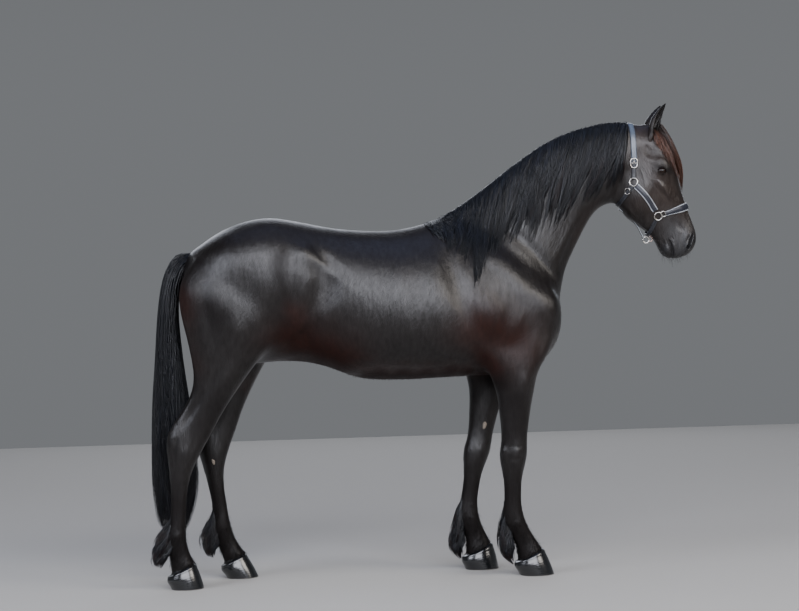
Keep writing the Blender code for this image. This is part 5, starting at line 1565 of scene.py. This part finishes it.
def lashes(spot):
    """Hairs of the upper lid: they stand out of its edge and sweep forward and down."""
    count = 64
    share = np.linspace(-0.92, 0.92, count) + rng.normal(0, 0.01, count)
    ahead = share * EYE_HALF
    up = EYE_ABOVE * (1 - np.abs(share) ** 2.3) + 0.0008
    out = np.sqrt(np.clip((spot.radius + LID_THICK) ** 2 - ahead**2 - up**2, 0, None))
    t = np.linspace(0, 1, 7)[None, :]
    length = (rng.uniform(0.009, 0.015, count) * (1 - 0.5 * np.abs(share)))[:, None]
    paths = spot.world(ahead[:, None] + length * t * (0.3 + 0.5 * share[:, None]),
                       up[:, None] + length * (0.25 * t - 0.75 * t**2), out[:, None] - 0.0008 + length * t)
    flats = np.broadcast_to(np.array(spot.up), paths.shape)
    half = np.broadcast_to(0.0003 * np.array([1, 1, 0.9, 0.8, 0.6, 0.4, 0.15]), (count, 7))
    return locks("lashes", paths, flats, half, 1.0, np.zeros(count))


for side, sign in SIDES:
    add_hair(f"lashes_{side}", lashes(eyes[side]))


# ---------------------------------------------------------------- head collar
# A leather head collar: straps cut from black bridle leather, padded on cheek and nose and edged with pale
# piping, a crown of grey patent leather, and polished rings that join them.
RAY_START = 0.24
RINGS = {"upper": (0.945, 1.739), "lower": (1.055, 1.585)}
LEATHER = 0.0042
head_tree = skin_tree(skin)


def around(centre, up, forward, degrees):
    """A point of the head by its direction from a centre, and its normal."""
    angle = math.radians(degrees)
    ray = up * math.cos(angle) + forward * math.sin(angle)
    return head_tree.ray_cast(centre + ray * RAY_START, -ray)[:2]


def girth(start, end, share, degrees, count):
    """Points of the skin round an axis that runs from start towards end in the side view, and that way."""
    first, last = Vector((start[0], 0, start[1])), Vector((end[0], 0, end[1]))
    centre = first.lerp(last, share)
    ahead = (last - centre).normalized()
    return [around(centre, ahead, Vector((0, -1, 0)), a) for a in np.linspace(-degrees, degrees, count)]


def lengths_along(path):
    """How far along a path each of its points lies."""
    return np.insert(np.cumsum(np.linalg.norm(np.diff(path, axis=0), axis=1)), 0, 0)


def eased(path, count, lift=0.0):
    """A path of points and normals made even and smooth, as arrays."""
    places = np.array([list(point) for point, _ in path])
    outs = np.array([list(out) for _, out in path])
    length = lengths_along(places)
    even = np.linspace(0, length[-1], count)
    places, outs = (np.column_stack([np.interp(even, length, values[:, k]) for k in range(3)])
                    for values in (places, outs))
    for _ in range(6):
        for values in (places, outs):
            values[1:-1] = (values[:-2] + 2 * values[1:-1] + values[2:]) / 4
    outs = unit(outs)
    return places + outs * lift, outs


def band(path, outs, profile, wide=None):
    """A closed strip with a profile of offsets across and out, along a path; wide scales its width."""
    along = unit(np.gradient(path, axis=0))
    across = unit(np.cross(along, outs))
    out = np.cross(across, along)
    wide = np.ones(len(path)) if wide is None else wide
    rings = [[Vector(p + a * x * w + o * y) for x, y in profile]
             for p, a, o, w in zip(path, across, out, wide)]
    mesh = tube(rings)
    lengths = lengths_along(path)
    x = np.array([[x for x, _ in profile]] * len(path)) * wide[:, None]
    grain = np.stack([x, np.broadcast_to(lengths[:, None], x.shape)], 2).reshape(-1, 2)
    grain = np.vstack([grain, np.zeros((len(mesh.vertices) - len(grain), 2))])
    add_values(mesh, grain=np.column_stack([grain, np.zeros(len(grain))]))
    return mesh


def flat_profile(width, thick, crown=0.0):
    """Half a rounded strap: its edges are pared, and its middle may be padded."""
    half = width / 2
    shares = np.linspace(-1, 1, 11)
    top = [(half * s, thick * (1 - 0.55 * abs(s) ** 6) + crown * (1 - s * s) ** 0.8) for s in shares]
    return [(-half, -0.002)] + top + [(half, -0.002)]


def round_profile(x, y, radius, sides=10):
    turns = np.linspace(0, 2 * math.pi, sides, endpoint=False)
    return [(x + radius * math.sin(a), y + radius * math.cos(a)) for a in turns]


def stitch_row(path, outs, x, y, wide=None, pitch=0.0055, length=0.0036, radius=0.00065):
    """A row of saddle stitches sunk in the leather, x across and y out from a path."""
    lengths = lengths_along(path)
    along = unit(np.gradient(path, axis=0))
    across = np.cross(along, outs)
    wide = np.ones(len(path)) if wide is None else wide
    line = path + across * (x * wide)[:, None] + outs * y
    starts = np.arange(pitch, lengths[-1] - pitch, pitch)
    paths = np.empty((len(starts), 5, 3))
    for step_index, shift in enumerate(np.linspace(0, length, 5)):
        for k in range(3):
            paths[:, step_index, k] = np.interp(starts + shift, lengths, line[:, k])
    flats = np.empty_like(paths)
    for k in range(3):
        flats[:, :, k] = np.interp(starts, lengths, outs[:, k])[:, None]
    half = radius * np.broadcast_to(np.array([0.4, 1.0, 1.0, 1.0, 0.4]), paths.shape[:2])
    return paths, flats, half


def add_stitches(name, path, outs, x, y, wide=None):
    """Stitches along both edges of a strap, as one mesh of small closed rods."""
    rows = [stitch_row(path, outs, edge * x, y, wide) for edge in (-1, 1)]
    paths, flats, half = (np.concatenate(parts) for parts in zip(*rows))
    add_piece(name, locks(name, paths, flats, half, 1.0, np.zeros(len(paths))), thread, "black_leather")


def add_piping(name, path, outs, x, y, radius, wide=None):
    """Round piping along both edges of a strap."""
    pipes = [band(path, outs, round_profile(edge * x, y, radius), wide) for edge in (-1, 1)]
    add_piece(name, joined(pipes), white_piping, "grey_leather")


def add_strap(name, path, outs, width, thick, *replaced):
    """A plain strap of black leather."""
    add_piece(name, band(path, outs, flat_profile(width, thick)), black_leather, "black_leather", *replaced)


def add_metal(name, mesh, *replaced, metal=None):
    add_piece(name, mesh, metal or bright, "bright_steel", *replaced)


# Bridle leather: fine pebbled grain under wax, black with a cold sheen, and paler in uneven stains.
def waxed_leather(name, dark, light, rough, gloss, grain_size):
    material, tree, shader = new_material(name)
    place = add_node(tree, "TexCoord").outputs["Object"]
    pebbles = add_node(tree, "TexVoronoi", {}, {"Vector": place, "Scale": 1 / grain_size})
    stains = add_node(tree, "TexNoise", {}, {"Vector": place, "Scale": 70.0, "Detail": 5.0})
    colour = add_node(tree, "Mix", {"data_type": "RGBA"}, {"Factor": stains, "A": dark, "B": light})
    shine = add_node(tree, "MapRange", {},
                     {"Value": stains, "To Min": rough - 0.08, "To Max": rough + 0.12})
    bump = add_node(tree, "Bump", {}, {"Height": pebbles, "Strength": 0.25, "Distance": 0.0005})
    plug(tree, shader, {"Base Color": colour, "Roughness": shine,
                        "Normal": bump, "IOR": 1.5, "Coat Weight": gloss,
                        "Coat Roughness": 0.2})
    return material


# Polished nickel plate: mirror bright, a little warm, with fine rubbing marks where straps slide.
def nickel(name, colour, rough):
    material, tree, shader = new_material(name)
    place = add_node(tree, "TexCoord").outputs["Object"]
    rubs = add_node(tree, "TexNoise", {}, {"Vector": place, "Scale": 400.0, "Detail": 4.0})
    shine = add_node(tree, "MapRange", {}, {"Value": rubs, "To Min": rough, "To Max": rough + 0.14})
    tint = add_node(tree, "Mix", {"data_type": "RGBA"}, {"Factor": rubs, "A": colour, "B": "9c9a96"})
    plug(tree, shader, {"Base Color": tint, "Roughness": shine, "Metallic": 1.0})
    return material


black_leather = waxed_leather("waxed_black_bridle_leather", "07080c", "12141c", 0.4, 0.15, 0.0011)
soft_padding = waxed_leather("soft_black_padded_leather", "080a12", "151928", 0.44, 0.1, 0.0014)
grey_patent = waxed_leather("grey_patent_leather", "323a46", "4e5867", 0.28, 0.3, 0.0016)
white_piping = waxed_leather("white_leather_piping", "83878c", "a9adb1", 0.42, 0.1, 0.0012)
thread = waxed_leather("waxed_grey_thread", "3a3d44", "5c6068", 0.6, 0.0, 0.0006)
bright = nickel("polished_nickel_plate", "c9c6c1", 0.14)
rosy = nickel("polished_rose_brass", "d9a99a", 0.16)


def ring_mesh(middle, normal, radius, wire, tall=1.0, turns=72, sides=14, square=2.0, upright=(0, 0, 1)):
    """A closed wire ring square to a normal; tall stretches it and square makes its corners firmer."""
    normal = Vector(normal).normalized()
    up = turned(Vector(upright), normal)
    across = up.cross(normal)
    bm = bmesh.new()
    centres = []
    for k in range(turns):
        angle = 2 * math.pi * k / turns
        centres.append(Vector(middle) + across * radius * power(math.cos(angle), square)
                       + up * radius * tall * power(math.sin(angle), square))
    loops = []
    for k, centre in enumerate(centres):
        along = (centres[(k + 1) % turns] - centres[k - 1]).normalized()
        side = along.cross(normal)
        loop = [2 * math.pi * j / sides for j in range(sides)]
        spots = [centre + (side * math.cos(a) + normal * math.sin(a)) * wire for a in loop]
        loops.append([bm.verts.new(spot) for spot in spots])
    for low, high in zip(loops, loops[1:] + loops[:1]):
        for j in range(sides):
            bm.faces.new((low[j], low[(j + 1) % sides], high[(j + 1) % sides], high[j]))
    bmesh.ops.recalc_face_normals(bm, faces=bm.faces)
    return mesh_of(bm, "ring")


def box_middle(node):
    low, high = (Vector(corner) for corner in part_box(node))
    return (low + high) / 2


# Crown strap: it lies over the poll behind the ears, punched for the buckle on the right side.
CROWN_WIDTH, CROWN_THICK, STITCHES_IN = 0.025, 0.004, 0.0032
HOLES = ((0.949, 1.862), (0.9495, 1.882), (0.95, 1.902))
path = girth((0.95, 1.85), (0.95, 2.0), 0, 146, 90)
path = [pair for pair in path if pair[0].z > RINGS["upper"][1] + 0.07 or pair[0].y > 0 and pair[0].z > 1.762]
path, outs = eased(path, 90, 0.0012)
mesh = band(path, outs, flat_profile(CROWN_WIDTH, CROWN_THICK))
add_piece("crown_strap", mesh, grey_patent, "grey_leather", "strap_crown")
add_stitches("crown_stitches", path, outs, CROWN_WIDTH / 2 - STITCHES_IN, CROWN_THICK)
holes = []
for x, z in HOLES:
    degrees = 90 - math.degrees(math.atan2(z - 1.85, 0.1))
    at, out = around(Vector((x, 0, 1.85)), Vector((0, 0, 1)), Vector((0, -1, 0)), degrees)
    holes.append(ring_mesh(at + out * 0.0051, out, 0.0021, 0.0007, turns=20, sides=6))
add_piece("crown_holes", joined(holes), thread, "grey_leather")

# Billet: a short black strap from the buckle down to the upper ring, folded through both and stitched.
BILLET_WIDTH, BILLET_THICK, BILLET_STITCHES = 0.019, 0.0052, 0.0066
for side, sign in SIDES:
    low = RINGS["upper"][1] + 0.012
    high = 1.832 if sign < 0 else 1.768
    path = [beside(head_tree, 0.9465 + 0.03 * (z - 1.75), z, sign) for z in np.linspace(low, high, 12)]
    path, outs = eased(path, 24, 0.0018 if sign < 0 else 0.003)
    add_strap(f"billet_{side}", path, outs, BILLET_WIDTH, BILLET_THICK)
    add_stitches(f"billet_stitches_{side}", path, outs, BILLET_STITCHES, BILLET_THICK)

# Buckle: a cast oval frame with a middle bar and a tongue that lies in a hole.
BUCKLE_HALF, WIRE = 0.0165, 0.0031
out = beside(head_tree, 0.949, 1.824, -1)[1]
middle = box_middle("buckle")
frame_ring = ring_mesh(middle, out, BUCKLE_HALF, WIRE, 1.3, square=2.2)
bar_path = np.array([list(middle + Vector((s, 0, 0)) + out * 0.001)
                     for s in np.linspace(-BUCKLE_HALF, BUCKLE_HALF, 8)])
tongue_path = np.array([list(middle + Vector((0.0, 0, s)) + out * (0.0026 + 0.0016 * math.sin(6 * s / 0.02)))
                        for s in np.linspace(-0.002, 0.0215, 12)])
bar = band(bar_path, np.array([list(out)] * 8), round_profile(0, 0, 0.0022))
tongue = band(tongue_path, np.array([list(out)] * 12), round_profile(0, 0, 0.0017))
for mesh in (bar, tongue):
    mesh.attributes.remove(mesh.attributes["grain"])
add_metal("crown_buckle", joined([frame_ring, bar, tongue]), "buckle")

# Rings: round on the cheeks, with a small square loop in front of the lower one for the noseband.
RING_RADIUS = 0.018
for side, sign in SIDES:
    for name, (x, z) in RINGS.items():
        at, out = beside(form, x, z, sign)
        mesh = ring_mesh(box_middle(f"ring_{name}_{side}"), out, RING_RADIUS, WIRE)
        add_metal(f"{name}_ring_{side}", mesh, f"ring_{name}_{side}")
    at, out = beside(head_tree, 1.0775, 1.5945, sign)
    ahead = Vector((0.86, 0, 0.51))
    loop = ring_mesh(at + out * 0.0062, out, 0.0125, 0.0025, 0.8, square=3.0, upright=ahead)
    add_metal(f"nose_loop_{side}", loop)

# Cheek straps: folded leather stuffed with foam, between two lines of piping.
CHEEK = [(0.955, 1.722), (0.98, 1.694), (1.01, 1.656), (1.042, 1.609)]
for side, sign in SIDES:
    path, outs = eased([beside(head_tree, x, z, sign) for x, z in spline(CHEEK, 30)], 40, 0.0015)
    mesh = band(path, outs, flat_profile(0.0225, LEATHER, 0.0022))
    add_piece(f"cheek_strap_{side}", mesh, soft_padding, "black_leather", f"strap_cheek_{side}")
    add_piping(f"cheek_piping_{side}", path, outs, 0.0115, 0.0021, 0.002)
    add_stitches(f"cheek_stitches_{side}", path, outs, 0.0082, LEATHER + 0.0012)

# Noseband: wide and thickly padded over the face, narrow at the loops, with the same piping.
NOSE_WIDE, NOSE_NARROW = 0.03, 0.018
path = girth(RINGS["lower"], (1.2, 1.628), 0.3, 128, 90)
path = [pair for pair in path if pair[0].x > RINGS["lower"][0] + 0.03]
path, outs = eased(path, 100, 0.0018)
share = np.abs(np.linspace(-1, 1, 100))
wide = NOSE_NARROW / NOSE_WIDE + (1 - NOSE_NARROW / NOSE_WIDE) * (1 - step(share, 0.35, 1.0))
mesh = band(path, outs, flat_profile(NOSE_WIDE, LEATHER, 0.0032), wide)
add_piece("noseband", mesh, soft_padding, "black_leather", "strap_nose")
add_piping("nose_piping", path, outs, 0.0152, 0.0023, 0.0022, wide)
add_stitches("nose_stitches", path, outs, 0.0112, LEATHER + 0.0016, wide)


# Chin strap, throat strap and jaw strap: plain rounded leather. The jaw strap joins throat to chin.
def sagging(path, down, slack, degrees):
    turns = np.linspace(-degrees, degrees, len(path))
    return [(point + down * slack * max(math.cos(math.radians(a)), 0), out)
            for (point, out), a in zip(path, turns)]


CHIN_LOW, CHIN_DEGREES = (1.018, 1.5), 112
low, start = (Vector((x, 0, z)) for x, z in (CHIN_LOW, RINGS["lower"]))
down = (low - start).normalized()
path = sagging(girth(RINGS["lower"], CHIN_LOW, 0.35, CHIN_DEGREES, 60), down, 0.01, CHIN_DEGREES)
path = [pair for pair in path if pair[0].z < RINGS["lower"][1] - 0.012]
path, outs = eased(path, 60, 0.0004)
add_strap("chin_strap", path, outs, 0.017, 0.0044, "strap_chin")
add_stitches("chin_stitches", path, outs, 0.006, 0.0044)
path = girth((0.941, 1.722), (0.884, 1.64), 0.4, 132, 70)
path = [pair for pair in path if pair[0].z < RINGS["upper"][1] - 0.012]
path, outs = eased(path, 70, 0.0008)
add_strap("throat_strap", path, outs, 0.018, 0.004, "strap_throat")
add_stitches("throat_stitches", path, outs, 0.0065, 0.004)
at, out = beside(head_tree, 0.92, 1.7, -1)
add_metal("throat_buckle", ring_mesh(at + out * 0.0065, out, 0.0115, 0.0017, 1.15, square=3.0))
JAW = [(0.893, 1.624), (0.935, 1.59), (0.975, 1.545), (1.004, 1.487)]
JAW_OUT = (-0.7, 0.0, -0.71)
points = spline(JAW, 30)
path = np.column_stack([points[:, 0], np.zeros(30), points[:, 1]])
outs = np.tile(JAW_OUT, (30, 1))
add_strap("jaw_strap", path, outs, 0.015, 0.004, "strap_jaw")
add_piping("jaw_piping", path, outs, 0.0078, 0.0016, 0.0015)
studs = [Vector((x, 0, z)) + Vector(JAW_OUT) * 0.0046 for x, z in ((0.902, 1.617), (0.996, 1.5))]
studs = [ring_mesh(spot, JAW_OUT, 0.0022, 0.0018, turns=20, sides=8) for spot in studs]
add_metal("jaw_studs", joined(studs))

# Chin ring: it hangs free under the chin strap and takes a lead. A small swivel hangs beside it.
middle = box_middle("ring_chin")
add_metal("chin_ring", ring_mesh(middle, (0, 1, 0), 0.014, WIRE), "ring_chin")
swivel = ring_mesh(middle + Vector((0.02, 0.0, 0.004)), (0.3, 1, 0), 0.0085, 0.002, 1.3, square=2.6)
add_metal("chin_swivel", swivel, metal=rosy)


# ---------------------------------------------------------------- floor, light and camera
# A plain pale floor under soft studio light: wide panels from the right, the front and the rear,
# and weaker ones overhead and from the left.
floor = add_object("stage_floor", tube([[Vector((x, y, z)) for x, y in ((-9, -9), (9, -9), (9, 9), (-9, 9))]
                                        for z in (-0.02, 0.0)]))
paint, tree, shader = new_material("matt_studio_floor_paint")
plug(tree, shader, {"Base Color": "9c9a96", "Roughness": 0.9})
floor.data.materials.append(paint)


def panel(name, place, target, size, power, colour):
    """A soft rectangular light that faces a target."""
    light = bpy.data.lights.new(name, "AREA")
    light.shape = "RECTANGLE"
    light.size, light.size_y = size
    light.energy = power
    light.color = linear(colour)[:3]
    obj = add_object(name, light)
    obj.location = place
    obj.visible_camera = False
    obj.rotation_euler = (Vector(target) - Vector(place)).to_track_quat("-Z", "Y").to_euler()


panel("light_right", (0.5, -8.8, 5.3), (0.0, 0.0, 1.2), (9.6, 6.2), 1700, "f4f6ff")
panel("light_front", (7.2, -5.6, 5.6), (0.4, 0.0, 1.3), (4.2, 4.2), 560, "fff8f0")
panel("light_rear", (-7.6, -4.6, 5.4), (-0.6, 0.0, 1.3), (4.2, 4.2), 620, "eef2ff")
panel("light_top", (0.0, 0.0, 6.5), (0.0, 0.0, 1.2), (6.0, 5.0), 80, "b9ccff")
panel("light_left", (1.0, 9.6, 5.0), (0.0, 0.0, 1.3), (11.0, 5.0), 400, "eef3ff")
# The room is dark above and below, with a soft pale band of lit wall all round at the height of the eye.
world = bpy.data.worlds.new("studio")
world.use_nodes = True
tree = world.node_tree
way = add_node(tree, "TexCoord").outputs["Generated"]
parts = add_node(tree, "SeparateXYZ", {}, {"Vector": way})
wall = add_node(tree, "MapRange", {"interpolation_type": "SMOOTHSTEP"},
                {"Value": parts.outputs["Z"], "From Min": 0.1, "From Max": 0.55, "To Min": 0.25,
                 "To Max": 0.1})
plug(tree, tree.nodes["Background"], {"Color": "d9dde2", "Strength": wall})
bpy.context.scene.world = world

camera = add_object("camera", bpy.data.cameras.new("camera"))
camera.data.sensor_width = 36
camera.data.lens = 85.4
turn, roll = math.radians(6), math.radians(1.4)
view = Vector((math.sin(turn), math.cos(turn), 0))
right, up = Vector((math.cos(turn), -math.sin(turn), 0)), Vector((0, 0, 1))
across = right * math.cos(roll) - up * math.sin(roll)
upright = right * math.sin(roll) + up * math.cos(roll)
place = Vector((-0.12, 0, 1.21)) - view * 8.5
matrix = Matrix((across, upright, -view)).transposed().to_4x4()
matrix.translation = place
camera.matrix_world = matrix
bpy.context.scene.camera = camera

low, high = cad_box
